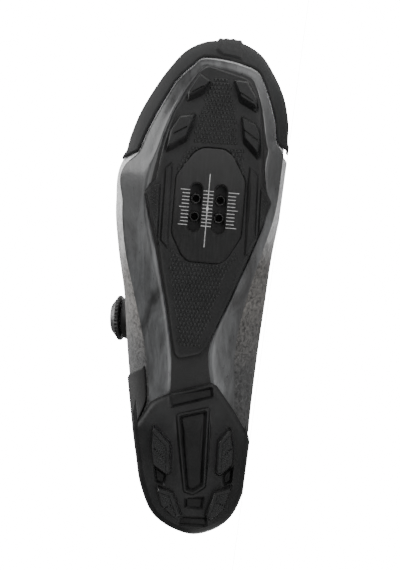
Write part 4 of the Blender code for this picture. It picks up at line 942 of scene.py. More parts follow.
def relief(mesh, edge, holes, forms, face, roof, pitch, edge_round=0.6 * MM, bead=0.0):
    """A plan region as a solid: face(points) with forms on it below, and sides that rise to roof(points)."""
    loops = [edge, *holes]
    soft = [grown(edge, -edge_round), *[grown(hole, edge_round) for hole in holes]]
    if bead:
        soft += [grown(edge, -0.9 * MM), grown(edge, -1.6 * MM)]
    rings = loops + soft + [polygon for form, _ in forms for polygon, _ in form]
    low, high = np.min(edge, 0), np.max(edge, 0)
    xs = np.arange(low[0], high[0], pitch)
    ys = np.arange(low[1], high[1], pitch * 0.87)
    grid = np.array([(x + (j % 2) * pitch / 2, y) for j, y in enumerate(ys) for x in xs])
    keep = inside(grid, edge) > 0.5 * pitch
    for hole in holes:
        keep &= inside(grid, hole) < -0.5 * pitch
    for ring in rings:
        keep &= np.abs(inside(grid, ring)) > 0.3 * pitch
    points, edges = [], []
    for ring in rings:
        first = len(points)
        points.extend(Vector(p) for p in ring)
        edges.extend((first + i, first + (i + 1) % len(ring)) for i in range(len(ring)))
    points.extend(Vector(p) for p in grid[keep])
    made, _, faces, *_ = delaunay_2d_cdt(points, edges, [], 0, 1e-7)
    flat = np.array([tuple(p) for p in made])
    centres = np.array([flat[list(f)].mean(0) for f in faces])
    shown = inside(centres, edge) > 0
    for hole in holes:
        shown &= inside(centres, hole) < 0
    height = face(flat)
    for form, target in forms:
        height = height + level(flat, form) * (target(flat, height) - height)
    near = inside(flat, edge)
    for hole in holes:
        near = np.minimum(near, -inside(flat, hole))
    height = height + 0.6 * edge_round * np.clip(1 - near / edge_round, 0, 1) ** 2
    height = height - bead * bell(0.9 * MM, 0.55 * MM, inside(flat, edge))
    verts = [mesh.verts.new((x, y, z)) for (x, y), z in zip(flat, height)]
    made_faces = [mesh.faces.new([verts[i] for i in f]) for f, show in zip(faces, shown) if show]
    rim = list(dict.fromkeys(e for f in made_faces for e in f.edges if len(e.link_faces) == 1))
    pulled = bmesh.ops.extrude_edge_only(mesh, edges=rim)
    raised = [item for item in pulled["geom"] if isinstance(item, bmesh.types.BMVert)]
    tops = roof(np.array([(v.co.x, v.co.y) for v in raised]))
    for vertex, top in zip(raised, tops):
        vertex.co.z = top
    loose = [v for v in mesh.verts if not v.link_faces]
    bmesh.ops.delete(mesh, geom=loose, context="VERTS")


def tabs(mesh, field, face, pitch_x, pitch_y, size, rise, lean=0.0, turn=0.0):
    """A field of small raised tabs, each a pyramid with its flat top moved towards the toe."""
    low, high = np.min(field, 0), np.max(field, 0)
    middle_of = (low + high) / 2
    half = max(high - low)

    def placed(centre, u, v):
        return (
            centre[0] + u * math.cos(turn) - v * math.sin(turn),
            centre[1] + u * math.sin(turn) + v * math.cos(turn),
        )

    spots = []
    for i in range(int(2 * half / pitch_x)):
        for j in range(int(2 * half / pitch_y)):
            x, y = (i + 0.5) * pitch_x - half, (j + 0.5 + (i % 2) / 2) * pitch_y - half
            spots.append(placed(middle_of, x, y))
    spots = np.array(spots)
    spots = spots[inside(spots, field) > 0.4 * min(size)]
    heights = face(spots)
    for spot, z in zip(spots, heights):
        rings = []
        for share, shift, drop in ((1.0, 0.0, -0.15 * MM), (0.42, lean, rise)):
            half_x, half_y = size[0] / 2 * share, size[1] / 2 * share
            places = [placed(spot, a * half_x + shift, b * half_y) for a, b in CORNERS]
            rings.append([mesh.verts.new((*place, z - drop)) for place in places])
        ring_walls(mesh, rings)
        mesh.faces.new(rings[1])


# Sole


def board_rows(t):
    """Plan points of the board's rows from its edge in to the middle line, and its depth there."""
    edge_x, edge_y = sole_edge(t, SOLE_LIP)
    middle_x, middle_y = middle(t)
    whole = np.hypot(edge_x - middle_x, edge_y - middle_y)
    rail = around(PLAN["rail_medial"], PLAN["rail_lateral"], t) * BALL_WIDTH
    near = np.array([0, 0.03, 0.08, 0.18, 0.3, 0.42, 0.53, 0.63, 0.72, 0.79, 0.86, 0.92, 0.96, 1.0])
    far = np.array([0.06, 0.14, 0.28, 0.46, 0.64, 0.82, 1.0])
    depths = np.concatenate([rail[:, None] * near, rail[:, None] + (whole - rail)[:, None] * far], 1)
    x, y = rows_in(edge_x, edge_y, t, depths / whole[:, None])
    across = np.clip(depths / rail[:, None], 0, 1)
    crease = smooth(np.array(RAIL_SECTION[0]), np.array(RAIL_SECTION[1]), across)
    keel = BOARD_DEPTH * side("keel", x)
    return x, y, BOARD_EDGE + (keel - BOARD_EDGE) * crease


def folded(x, y, top, bottom):
    out = np.stack([x, y, top], -1)[:, ::-1]
    back = np.stack([x, y, bottom], -1)
    return np.concatenate([out, back], 1)


RING = fine_columns(440)
ROWS_X, ROWS_Y, ROWS_DEPTH = board_rows(RING)


def make_outsole():
    top = board(ROWS_X)
    under = top - ROWS_DEPTH
    inner = np.clip(np.arange(ROWS_X.shape[1]), 0, 1)
    rounded = top - 0.35 * MM * (1 - inner)
    mesh = bmesh.new()
    inner_from = 2 * ROWS_X.shape[1] - 8
    surface(mesh, folded(ROWS_X, ROWS_Y, rounded, under), True, lambda i, j: int(j >= inner_from))
    cleaned(mesh)
    tree = BVHTree.FromBMesh(mesh)
    made = put("sole_board", mesh, [BOARD, BOARD_MATTE], ["outsole"], 24)
    cutter = bmesh.new()
    for points in slots():
        face = cutter.faces.new([cutter.verts.new((x, y, 0)) for x, y in points])
        pulled = bmesh.ops.extrude_face_region(cutter, geom=[face])
        high = [item for item in pulled["geom"] if isinstance(item, bmesh.types.BMVert)]
        bmesh.ops.translate(cutter, verts=high, vec=(0, 0, 40 * MM))
    bmesh.ops.recalc_face_normals(cutter, faces=cutter.faces)
    data = bpy.data.meshes.new("slot_cutter")
    cutter.to_mesh(data)
    cutter.free()
    data.transform(POSE)
    tool = linked("slot_cutter", data)
    modifier = made.modifiers.new("slots", "BOOLEAN")
    modifier.operation = "DIFFERENCE"
    modifier.object = tool
    modifier.solver = "EXACT"
    bpy.context.view_layer.update()
    graph = bpy.context.evaluated_depsgraph_get()
    cut = bpy.data.meshes.new_from_object(made.evaluated_get(graph))
    made.modifiers.clear()
    made.data = cut
    bpy.data.objects.remove(tool)
    return tree


BOARD_TREE = make_outsole()


def under(points):
    """Height of the board's underside at plan points."""
    made = []
    for x, y in points:
        hit = BOARD_TREE.ray_cast(Vector((x, y, -0.02)), Vector((0, 0, 1)))[0]
        if hit is None:
            hit = BOARD_TREE.find_nearest(Vector((x, y, float(board(np.array(x))) - BOARD_EDGE)))[0]
        made.append(hit.z)
    return np.array(made)


def tread_face(points):
    return under(points) - GAP - TREAD_BASE


def ground(points, _=None):
    return TOE_SPRING * side("spring", points[:, 0])


def bar(start, end, width):
    """The outline of a straight bar between two plan points, with square ends."""
    a, b = Vector(start), Vector(end)
    along = (b - a).normalized()
    across = Vector((-along.y, along.x)) * width / 2
    return [tuple(a - across), tuple(b - across), tuple(b + across), tuple(a + across)]


def sloped(outer, inner, target):
    """A form that leaves its surroundings at outer and reaches the target's height at inner."""
    return [(outer, 0.0), (inner, 1.0)], target


def groove_forms(lines):
    """Narrow cuts between pairs of plan points in millimetres."""
    cuts = [bar(*in_mm(ends), GROOVE_WIDTH) for ends in lines]
    return [sloped(cut, grown(cut, -0.25 * MM), lambda points, z: z + GROOVE_DEPTH) for cut in cuts]


def lean_back(points, rear, distance):
    """A lug's top: drawn in from its foot all round, and far in at the corners of its sloping rear face."""
    top = grown(points, -0.7 * MM)
    return [(x + distance if i in rear else x, y) for i, (x, y) in enumerate(top)]


def chevron_forms():
    forms = []
    for points, rear in CHEVRON_LUGS:
        foot = plan(points)
        top = lean_back(foot, rear, 2.6 * MM)
        forms.append(
            ([(eased(grown(foot, 0.2 * MM), 0.6 * MM, 2), 0.0), (eased(top, 0.7 * MM, 2), 0.93),
              (eased(grown(top, -0.45 * MM), 0.6 * MM, 2), 1.0)], ground)
        )
    return forms + groove_forms(GROOVES)


def raised_forms(outlines, rise, slope):
    return [
        sloped(eased(foot, 0.8 * MM, 2), eased(grown(foot, -slope), 0.7 * MM, 2), lambda at, z: z - rise)
        for foot in map(in_mm, outlines)
    ]


def make_forefoot_tread():
    mesh = bmesh.new()
    edge = eased(plan(TREAD_OUTLINE), 1.6 * MM, 3)
    hole = eased(grown(plan(PLATE_OUTLINE), PLATE_CLEARANCE), 2.2 * MM, 3)
    forms = raised_forms(RAIL_LUGS, 1.9 * RAIL_LUG_RISE, 1.0 * MM)
    forms += raised_forms(WING_LUGS, WING_RISE, 1.0 * MM) + chevron_forms()
    relief(mesh, edge, [hole], forms, tread_face, lambda p: under(p) - GAP, 1.7 * MM, bead=0.35 * MM)
    put("forefoot_rubber", mesh, [TREAD], ["forefoot_tread"], 26)
    mesh = bmesh.new()
    for field in (FRONT_FIELD, *BAY_SIDES, ARCH_FIELD):
        tabs(mesh, in_mm(field), tread_face, 2.4 * MM, 2.1 * MM, (2.3 * MM, 1.8 * MM), 0.6 * MM, 0.3 * MM)
    for field, turn in zip(WING_FIELDS, (0.5, -0.5)):
        tabs(mesh, in_mm(field), lambda p: tread_face(p) - WING_RISE, 1.7 * MM, 1.5 * MM,
             (1.4 * MM, 1.2 * MM), 0.3 * MM, 0.1 * MM, turn)
    # The forefoot tabs take the lighter rubber: painted light on them
    put("forefoot_tabs", mesh, [TAB_PAINTED_LIGHT], (), 20)


def make_cleat_plate():
    mesh = bmesh.new()
    edge = eased(plan(PLATE_OUTLINE), 2.2 * MM, 3)
    rims = [
        sloped(outer, inner, lambda points, z: z + 0.5 * MM)
        for outer, inner in zip(slots(0.75 * MM), slots(0.3 * MM))
    ]
    relief(mesh, edge, slots(), rims, lambda p: np.full(len(p), CLEAT_RECESS),
           lambda p: under(p) - GAP, 2.6 * MM, 0.5 * MM)
    put("cleat_insert", mesh, [INSERT], ["cleat_plate"], 22)


def strip(mesh, start, end, width, z, thickness):
    """A flat bar between two plan points."""
    corners = bar(start, end, width)
    low = [mesh.verts.new((x, y, z)) for x, y in corners]
    high = [mesh.verts.new((x, y, z + thickness)) for x, y in corners]
    mesh.faces.new(low)
    mesh.faces.new(high)
    ring_walls(mesh, [low, high])


def make_scale():
    """The printed lines beside the slots: three rows of eleven, 2 mm apart, and the middle line."""
    mesh = bmesh.new()
    z, thick = CLEAT_RECESS - 0.06 * MM, 0.12 * MM
    for i in range(11):
        along = (9.7 - 2 * i) * MM
        long_line = i in (0, 5, 10)
        spans = ((-16.0 if long_line else -14.8, -10.6), (-2.9, 2.9), (11.3, 17.4 if long_line else 15.8))
        for low, high in spans:
            strip(mesh, cleat_line(low * MM, along), cleat_line(high * MM, along), 0.42 * MM, z, thick)
    strip(mesh, cleat_line(0, 19.6 * MM), cleat_line(0, -22.4 * MM), 0.45 * MM, z, thick)
    diamond = [(2.0, 0), (0, 0.9), (-2.0, 0), (0, -0.9)]
    low = [mesh.verts.new((*cleat_line(b * MM, (a - 0.3) * MM), z - 0.02 * MM)) for a, b in diamond]
    mesh.faces.new(low)
    put("scale_lines", mesh, [PRINT])


def grip_depth(angle):
    """Depth of the dial's grip grooves at an angle."""
    wave = 0.5 - 0.5 * math.cos(GRIPS * angle)
    return GRIP_DEPTH * (1 - wave) ** 2


def turned(mesh, profile, place, segments=48, closed=True, marked=()):
    """A profile turned about its axis, each point placed by place(x, y, z).

    It holds the radius and the height of each point, and on a dial its share of the grip grooves' depth.
    """
    rings = []
    for radius, height, *grip in profile:
        ring = []
        for i in range(segments):
            angle = 2 * math.pi * i / segments
            reach = radius - sum(share * grip_depth(angle) for share in grip)
            ring.append(mesh.verts.new(place(reach * math.cos(angle), reach * math.sin(angle), height)))
        rings.append(ring)
    ring_walls(mesh, rings, closed, marked)


def make_nut_plate():
    length, width, thickness = NUT_PLATE
    reach = cleat_line(0, 0)[0] + np.linspace(-0.5, 0.5, 7) * length
    base = float(board(reach).max()) + GAP
    mesh = bmesh.new()
    corners = [(a * length / 2, b * width / 2) for a, b in CORNERS]
    rim = [cleat_line(y, x) for x, y in eased(corners, 3 * MM, 5)]
    bores = []
    for across in (-1, 1):
        for along in (-1, 1):
            centre = cleat_line(across * SLOT_SPACING / 2, along * NUT_PITCH / 2)
            bores.append(stadium(centre, NUT_BORE, NUT_BORE - 1e-6, 0, 20))
            low = base - NUT_BOSS_LENGTH
            outer, bore = NUT_BOSS / 2, NUT_BORE / 2
            ring = [
                (bore + 0.2 * MM, low), (outer - 0.45 * MM, low), (outer, low + 0.45 * MM), (outer, base),
                (bore, base), (bore, low + 0.2 * MM),
            ]
            turned(mesh, ring, lambda x, y, z: (centre[0] + x, centre[1] + y, z), marked=(0, 1))
            for k in range(5):
                z = low + (0.7 + 0.62 * k) * MM
                thread = [(bore, z), (bore - 0.2 * MM, z + 0.2 * MM), (bore, z + 0.4 * MM)]
                turned(mesh, thread, lambda x, y, z: (centre[0] + x, centre[1] + y, z), 32, False)
    relief(mesh, rim, bores, [], lambda p: np.full(len(p), base), lambda p: np.full(len(p), base + thickness),
           4 * MM, 0.25 * MM)
    put("threaded_plate", mesh, [NUT, NUT_EDGE], ["cleat_nut_plate"], 30)


def heel_base(x):
    return HEEL_BASE - (HEEL_BASE - 2.2 * MM) * ramp(HEEL_RAMP[0], HEEL_RAMP[1], x / LAST_LENGTH)


def heel_face(points):
    """Height of the heel tread's underside, before its lugs and windows, rounded off along its front edge."""
    x = points[:, 0]
    plain = board(x) - BOARD_DEPTH * side("keel", x) - GAP - heel_base(x)
    if points.shape[1] < 2:
        return plain
    front = np.array(plan(HEEL_FRONT)[1:-1])
    fine = np.concatenate([np.linspace(a, b, 12) for a, b in zip(front, front[1:])])
    away = np.min(np.linalg.norm(points[:, None, :] - fine[None], axis=-1), 1)
    return plain + 1.3 * MM * np.clip(1 - away / (2.2 * MM), 0, 1) ** 1.6


def cup_rise(x):
    """Height of the heel cup's lip above the sole board."""
    return CUP_TOP * (1 - 0.45 * ramp(0.08, 0.17, x / LAST_LENGTH))


def cup_rim(x):
    """The w at the heel cup's lip."""
    return cup_rise(x) / (INSTEP_HEIGHT * side("bulge", x)) - 1


def cup_wall(t, share_up):
    """The heel cup's outer side at stations t, share_up from 0 at the tread's face to 1 at the lip."""
    reaches = np.array([r for r, _ in CUP_SIDE[::-1]] + [CUP_LIP + GAP])
    shares = np.array([s for _, s in CUP_SIDE[::-1]] + [1.0])
    order = np.linspace(0, 1, len(shares))
    reach = smooth(order, reaches, share_up)
    share = np.clip(smooth(order, shares, share_up), 0, 1)
    out_x, out_y = outline(t)
    x, y = moved_out(out_x, out_y, t, reach)
    low = heel_face(np.stack([out_x.ravel()], -1)).reshape(out_x.shape)
    tall = board(out_x) + cup_rise(out_x) - low
    points = np.stack([x, y, low + tall * share], -1)
    rim = cup_rim(out_x)
    lip = off_wall(t, rim, np.full(rim.shape, GAP + CUP_LIP))
    blend = ramp(0.75, 1.0, share_up)[..., None]
    return points * (1 - blend) + lip * blend


def band(line, body, width):
    """The strip of a plan polygon that lies along some of its sides."""
    middle_of = Vector(np.mean(body, 0))
    outer = [Vector(p) for p in line]
    made = list(outer)
    for before, here, after in reversed(list(zip([None, *outer[:-1]], outer, [*outer[1:], None]))):
        sides = [(here - before).normalized()] if before else []
        sides += [(after - here).normalized()] if after else []
        across = sum((Vector((-d.y, d.x)) for d in sides), Vector((0, 0))).normalized()
        if across.dot(middle_of - here) < 0:
            across = -across
        made.append(here + across * width / max(0.6, abs(across.dot(Vector((-sides[0].y, sides[0].x))))))
    return [tuple(p) for p in made]


def make_heel_tread():
    foot_lateral, foot_medial = -float(t_at(0.262 * LAST_LENGTH)), float(t_at(0.224 * LAST_LENGTH))
    top_lateral, top_medial = -float(t_at(0.175 * LAST_LENGTH)), float(t_at(0.168 * LAST_LENGTH))
    across = np.linspace(0, 1, 150)[:, None]
    up = np.linspace(0, 1, 18)[None, :]
    lean = up**0.8
    first = foot_lateral + (top_lateral - foot_lateral) * lean
    last = foot_medial + (top_medial - foot_medial) * lean
    t = first + (last - first) * across
    outer = cup_wall(t, np.broadcast_to(up, t.shape))
    t_in = t[:, -1:] + 0 * up
    rim = cup_rim(outline(t_in)[0])
    back = rim + (-0.92 - rim) * up
    inner = off_wall(t_in, back, np.full(back.shape, GAP))
    lip = (outer[:, -1:] + inner[:, :1]) / 2 + np.array([0, 0, 0.25 * MM])
    mesh = bmesh.new()
    surface(mesh, limited(np.concatenate([outer, lip, inner], 1), 0))
    front = plan(HEEL_FRONT)[1:-1]
    edge = [tuple(p[:2]) for p in limited(outer, 0)[:, 0]] + front[::-1]
    window = plan(WINDOW_OUTLINE)
    foot, top, brink, floor = (
        eased(grown(window, reach * MM), radius * MM, 3)
        for reach, radius in ((2.3, 1.5), (1.5, 1.5), (0.7, 1.3), (-1.3, 1.0))
    )
    forms = [
        sloped(foot, top, lambda p, z: z - 1.0 * MM),
        sloped(brink, floor, lambda p, z: heel_face(p) + 1.3 * PANEL_DEPTH),
    ]
    sunk = [plan(SMALL_WINDOW_OUTLINE), plan(BADGE_OUTLINE), in_mm(REAR_PANEL), *map(in_mm, HEEL_SCOOPS)]
    for shape in sunk:
        brink = eased(grown(shape, 0.8 * MM), 0.8 * MM, 2)
        floor = eased(grown(shape, -0.9 * MM), 0.6 * MM, 2)
        forms.append(sloped(brink, floor, lambda p, z: z + 1.2 * PANEL_DEPTH))
    for points, inner_side in zip(HEEL_LUGS, HEEL_RIDGES):
        shape = plan(points)
        foot = eased(grown(shape, 1.2 * MM), 1.2 * MM, 2)
        top = eased(grown(shape, 0.2 * MM), 1.0 * MM, 2)
        forms.append(sloped(foot, top, lambda p, z: 0 * z + HEEL_FIELD_DROP))
        ridge = band([shape[k] for k in inner_side], shape, 2.3 * MM)
        forms.append(sloped(ridge, grown(ridge, -0.4 * MM), lambda p, z: 0 * z))
    forms += groove_forms(HEEL_GROOVES)
    relief(mesh, edge, [], forms, heel_face, lambda p: under(p) - GAP, 1.7 * MM, 0.05 * MM)
    cleaned(mesh)
    middles = np.array([tuple(f.calc_center_median()) for f in mesh.faces])
    # Faces on the floors of the windows, scoops, rear panel and badge take the darker rubber: painted shade
    # in the recesses
    shaded_recess = np.array([inside(middles[:, :2], s) for s in [grown(window, -0.2 * MM), *sunk]]).max(0) > 0
    shaded_recess &= middles[:, 2] < heel_face(middles[:, :2]) + 3 * MM
    for face, dark in zip(mesh.faces, shaded_recess):
        face.material_index = int(dark)
    put("heel_rubber", mesh, [HEEL_RUBBER, HEEL_RECESS_SHADE], ["heel_tread"], 26)
    mesh = bmesh.new()
    for points, turn in zip(HEEL_LUGS, (0.7, -0.7, 0.7, -0.7)):
        field = grown(plan(points), -0.6 * MM)
        tabs(mesh, field, lambda p: 0 * p[:, 0] + HEEL_FIELD_DROP, 1.7 * MM, 1.4 * MM, (1.4 * MM, 1.1 * MM),
             0.35 * MM, 0.1 * MM, turn)
    # The heel tabs take the lighter rubber: painted light on them
    put("heel_tabs", mesh, [TAB_PAINTED_LIGHT], (), 20)


# Upper, overlays, tongue and insole


def make_upper():
    t = fine_columns(460)
    end = top_edge(t)
    shut = end > 0.999
    end = np.where(shut, 1.0, end)
    x = outline(t)[0] / LAST_LENGTH
    padded = 1 - ramp(0.27, 0.33, x)
    thick_top = WALL + (COLLAR_WALL - WALL) * padded
    rate = np.linalg.norm(wall(t, end) - wall(t, end - 0.02), axis=-1) / 0.02
    stop = np.where(shut, 1.0, end - thick_top / 2 / rate)
    lower = np.broadcast_to(np.linspace(-1, 0, 14)[:-1], (len(t), 13))
    upper = stop[:, None] * (1 - (1 - np.linspace(0, 1, 30)) ** 1.35)
    rows = np.concatenate([lower, upper], 1)
    down = (end[:, None] - rows) * 95 * MM
    near = np.clip(1 - down / COLLAR_PAD_DEPTH, 0, 1) * (rows >= 0)
    swell = padded[:, None] * np.sin(np.clip(near * 1.4, 0, 1) * math.pi / 2)
    thick = WALL + (COLLAR_WALL - WALL) * swell
    seam = -0.45 * MM * bell(20 * MM, 1.3 * MM, down) * padded[:, None]
    hem = -0.30 * MM * bell(6.2 * MM, 0.9 * MM, down) * (1 - shut)[:, None]
    skin = off_wall(t[:, None], rows, seam + hem)
    skin = limited(skin, covered(t)[:, None])
    inside_skin = off_wall(t[:, None], rows, -thick)
    inside_skin = limited(inside_skin, covered(t)[:, None] + thick)
    p_out, p_in = skin[:, -1], inside_skin[:, -1]
    heading = wall(t, stop) - wall(t, stop - 0.01)
    heading /= np.linalg.norm(heading, axis=-1, keepdims=True)
    angle = np.linspace(0, math.pi, 9)[1:-1]
    centre, half = (p_out + p_in) / 2, (p_out - p_in) / 2
    lift = np.linalg.norm(half, axis=-1)[:, None] * heading * (1 - shut)[:, None]
    swing, rise = np.cos(angle)[None, :, None], np.sin(angle)[None, :, None]
    arc = centre[:, None] + half[:, None] * swing + lift[:, None] * rise
    in_x, in_y = moved_out(*sole_edge(t), t, -LASTING_MARGIN)
    low = np.stack([in_x, in_y, board(in_x) + GAP], -1)[:, None]
    high = low + np.array([0, 0, WALL])
    paths = np.concatenate([low, skin, arc, inside_skin[:, ::-1], high, low], 1)
    first_arc = skin.shape[1]
    last_arc = first_arc + len(angle)
    mesh = bmesh.new()
    layer = mesh.verts.layers.float.new("rim")
    rim = np.where(shut[:, None], 1.0, down)
    ends = np.zeros((len(t), len(angle)))
    values = np.concatenate([rim[:, :1], rim, ends, rim[:, ::-1], rim[:, :1], rim[:, :1]], 1)
    surface(
        mesh, paths, True, lambda i, j: int(j > first_arc + 2),
        lambda a, b, j: shut[a] and shut[b] and first_arc <= j <= last_arc, layer, values,
    )
    cleaned(mesh)
    put("textile_upper", mesh, [TEXTILE, LINING], ["upper"], 50)


def stitches(mesh, points, normals, length=2.2 * MM, gap=1.2 * MM, width=0.55 * MM, rise=0.3 * MM):
    """Stitches along a line of points: short rounded bars, sunk at both ends."""
    points, normals = np.array(points), np.array(normals)
    run = np.concatenate([[0], np.cumsum(np.linalg.norm(np.diff(points, axis=0), axis=1))])

    def on_line(values, distance):
        return np.array([np.interp(distance, run, values[:, k]) for k in range(3)])

    at = 0.0
    while at + length < run[-1]:
        where = [on_line(points, at + s * length) for s in (0, 0.5, 1)]
        up = on_line(normals, at + 0.5 * length)
        along = where[2] - where[0]
        across = np.cross(along, up)
        across = across / np.linalg.norm(across) * width / 2
        rows = []
        for point, height, wide in zip(where, (-0.1 * MM, rise, -0.1 * MM), (0.5, 1.0, 0.5)):
            left = point - across * wide - up * 0.15 * MM
            right = point + across * wide - up * 0.15 * MM
            rows.append([mesh.verts.new(left), mesh.verts.new(point + up * height), mesh.verts.new(right)])
        for a, b in zip(rows, rows[1:]):
            for j in range(2):
                mesh.faces.new((a[j], a[j + 1], b[j + 1], b[j]))
        at += length + gap


def make_seams():
    """Stitched lines under the collar and along both edges of the throat."""
    mesh = bmesh.new()
    reach = float(t_at(0.31 * LAST_LENGTH))
    t = np.linspace(-reach, reach, 260)
    w = top_edge(t) - 20 * MM / (95 * MM)
    points = limited(off_wall(t, w, np.full(t.shape, -0.35 * MM)), covered(np.mod(t, 2 * TURN)))
    stitches(mesh, points, wall_normal(t, w))
    for medial in (True, False):
        xs = np.linspace(0.405, 0.66, 90) * LAST_LENGTH
        ws = below_throat(xs, medial, 6.0 * MM)
        ts = station(xs, medial)
        line = off_wall(ts, ws, np.full(ts.shape, -0.2 * MM))
        stitches(mesh, line, wall_normal(ts, ws), 1.8 * MM, 1.0 * MM)
    put("upper_stitching", mesh, [THREAD], (), 60)


def overlay(name, t, w, base, thick, material, node):
    """A closed skin between base and base + thick on the wall, its grid given by t and w."""
    low = limited(off_wall(t, w, base), thick)
    high = limited(off_wall(t, w, base + thick), 0)
    mesh = bmesh.new()
    top = surface(mesh, high)
    bottom = surface(mesh, low)
    end_walls(mesh, top, bottom)
    side_walls(mesh, top, bottom)
    cleaned(mesh)
    return put(name, mesh, [material], [node], 40)


def make_toe_guard():
    first = float(t_at(GUARD_MEDIAL_END * LAST_LENGTH))
    last = 2 * TURN - float(t_at(GUARD_LATERAL_END * LAST_LENGTH))
    stations = np.linspace(first, last, 330)
    taper = ramp(0, GUARD_TAPER, np.minimum(stations - first, last - stations)) ** 0.6
    high = GUARD_TIP + 0.08 + (GUARD_TOP - GUARD_TIP - 0.08) * taper
    lower, upper = np.linspace(0.04, 0.2, 13), np.linspace(0.23, 0.95, 26)
    u = np.concatenate([[0, 0.012, 0.026], lower, upper, [0.975, 0.99, 1]])
    w = GUARD_LOW + (high - GUARD_LOW)[:, None] * u
    t = stations[:, None] + 0 * w
    near_end = 1 - ramp(0, GUARD_TAPER, np.minimum(t - first, last - t))
    slant = np.where(w < GUARD_TIP, (GUARD_TIP - w) / (GUARD_TIP + 1), (w - GUARD_TIP) / -GUARD_TIP)
    t = t + np.where(t < TURN, 1, -1) * near_end * 1.3 * GUARD_SLANT * np.clip(slant, 0, 1)
    edge = np.minimum(u, 1 - u)[None, :] * (high - GUARD_LOW)[:, None] * 22 * MM
    end = np.minimum(stations - stations[0], stations[-1] - stations)[:, None]
    soft = 0.35 + 0.65 * np.sin(np.clip(np.minimum(edge, end) / (0.9 * MM), 0, 1) * math.pi / 2)
    across = outline(t)[1] / BALL_WIDTH * 100
    middle_of = (NUB_SIDES[0] + NUB_SIDES[1]) / 2
    half = (NUB_SIDES[1] - NUB_SIDES[0]) / 2
    on_toe = np.abs(t - TURN) < 30 * MM
    over = ramp(1.12, 0.86, np.abs(across - middle_of) / half) * on_toe
    foot = GUARD_LOW + 0.05 + 0.16 * ramp(-1.0, -6.0, across)
    body = ramp(foot, foot + 0.035, w) * ramp(0.9 * high[:, None], 0.55 * high[:, None], w)
    rib = 1 - 0.28 * (0.5 + 0.5 * np.cos((across - middle_of) / half * 3.5 * math.pi)) * ramp(-0.75, -0.6, w)
    thick = GUARD_THICKNESS * soft + NUB_RISE * over * body * rib
    overlay("toe_guard_skin", t, w, np.full(w.shape, GUARD_GAP), thick, GUARD, "toe_guard")


def make_heel_counter():
    first = -float(t_at(COUNTER_LATERAL_END * LAST_LENGTH))
    last = float(t_at(COUNTER_MEDIAL_END * LAST_LENGTH))
    stations = np.linspace(first, last, 200)
    x = outline(stations)[0] / LAST_LENGTH
    rim = cup_rise(x * LAST_LENGTH) / (INSTEP_HEIGHT * side("bulge", x)) - 1
    low = np.minimum(-0.28, rim + 0.06)
    low = low + (-0.92 - low) * ramp(0.205, 0.262, x) * (stations < 0)
    end = np.minimum(stations - stations[0], stations[-1] - stations)
    high = top_edge(stations) * COUNTER_TOP * (0.35 + 0.65 * ramp(0, 30 * MM, end))
    u = np.concatenate([[0, 0.015], np.linspace(0.04, 0.96, 22), [0.985, 1]])
    w = low[:, None] + (high - low)[:, None] * u
    t = stations[:, None] + 0 * w
    t = t - (1 - ramp(0, 20 * MM, t - stations[0])) * COUNTER_SLANT * np.clip(-w, 0, 1)
    edge = np.minimum(u, 1 - u)[None, :] * (high - low)[:, None] * 40 * MM
    soft = 0.3 + 0.7 * np.sin(np.clip(np.minimum(edge, end[:, None]) / (0.8 * MM), 0, 1) * math.pi / 2)
    gap = np.full(w.shape, OVERLAY_GAP)
    overlay("counter_skin", t, w, gap, COUNTER_THICKNESS * soft, FILM, "heel_counter")


def make_tongue():
    x = np.linspace(TONGUE_TOP, TONGUE_FRONT, 90)[:, None] * LAST_LENGTH
    share = np.sin(np.linspace(-1, 1, 45) * math.pi / 2)[None, :]
    half = throat_half(np.minimum(x, 0.66 * LAST_LENGTH)) + TONGUE_TUCK
    half = half * (0.72 + 0.28 * ramp(TONGUE_TOP, TONGUE_TOP + 0.045, x / LAST_LENGTH))
    end = np.clip(np.minimum(x - x[0], x[-1] - x) / (5 * MM), 0, 1)
    x, share = np.broadcast_arrays(x, share)
    t = station(x, share > 0)
    out_x, out_y = outline(t)
    middle_x, middle_y = middle(t)
    out = np.clip(np.abs(share) * half / np.hypot(out_x - middle_x, out_y - middle_y), 0, 1)
    w = w_over(out)
    full = np.sqrt(1 - np.abs(share) ** 8) * np.sin(end * math.pi / 2) ** 0.6
    channel = 0.5 * MM * (1 - np.abs(np.sin(math.pi * x / (16 * MM)))) ** 4 * (np.abs(share) < 0.8)
    mesh = bmesh.new()
    for sign in (1, -1):
        depth = WALL + TONGUE_GAP + TONGUE_THICKNESS / 2 - sign * (TONGUE_THICKNESS / 2 * full - channel)
        surface(mesh, off_wall(t, w, -depth))
    cleaned(mesh)
    made = put("padded_tongue", mesh, [LINING], ["tongue"], 60)


def make_insole():
    t = fine_columns(240)
    edge_x, edge_y = sole_edge(t, -INSOLE_INSET)
    share = np.array([0.0, 0.02, 0.06, 0.12, 0.25, 0.45, 0.7, 1.0])
    x, y = rows_in(edge_x, edge_y, t, share)
    low = board(x) + WALL + 3 * GAP
    dish = np.interp(share, (0, 0.02, 0.06, 0.12, 0.25, 1), (0.35, 0.8, 1.0, 0.97, 0.9, 0.86))
    mesh = bmesh.new()
    surface(mesh, folded(x, y, low + INSOLE_THICKNESS * dish, low), True)
    cleaned(mesh)
    made = put("insole_pad", mesh, [FOAM], ["insole"], 50)


# Closure


def dial_place(offset):
    at, axis = dial_frame()
    turn = axis.to_track_quat("Z", "Y")
    return lambda x, y, z: at + turn @ Vector((x, y, z + offset))


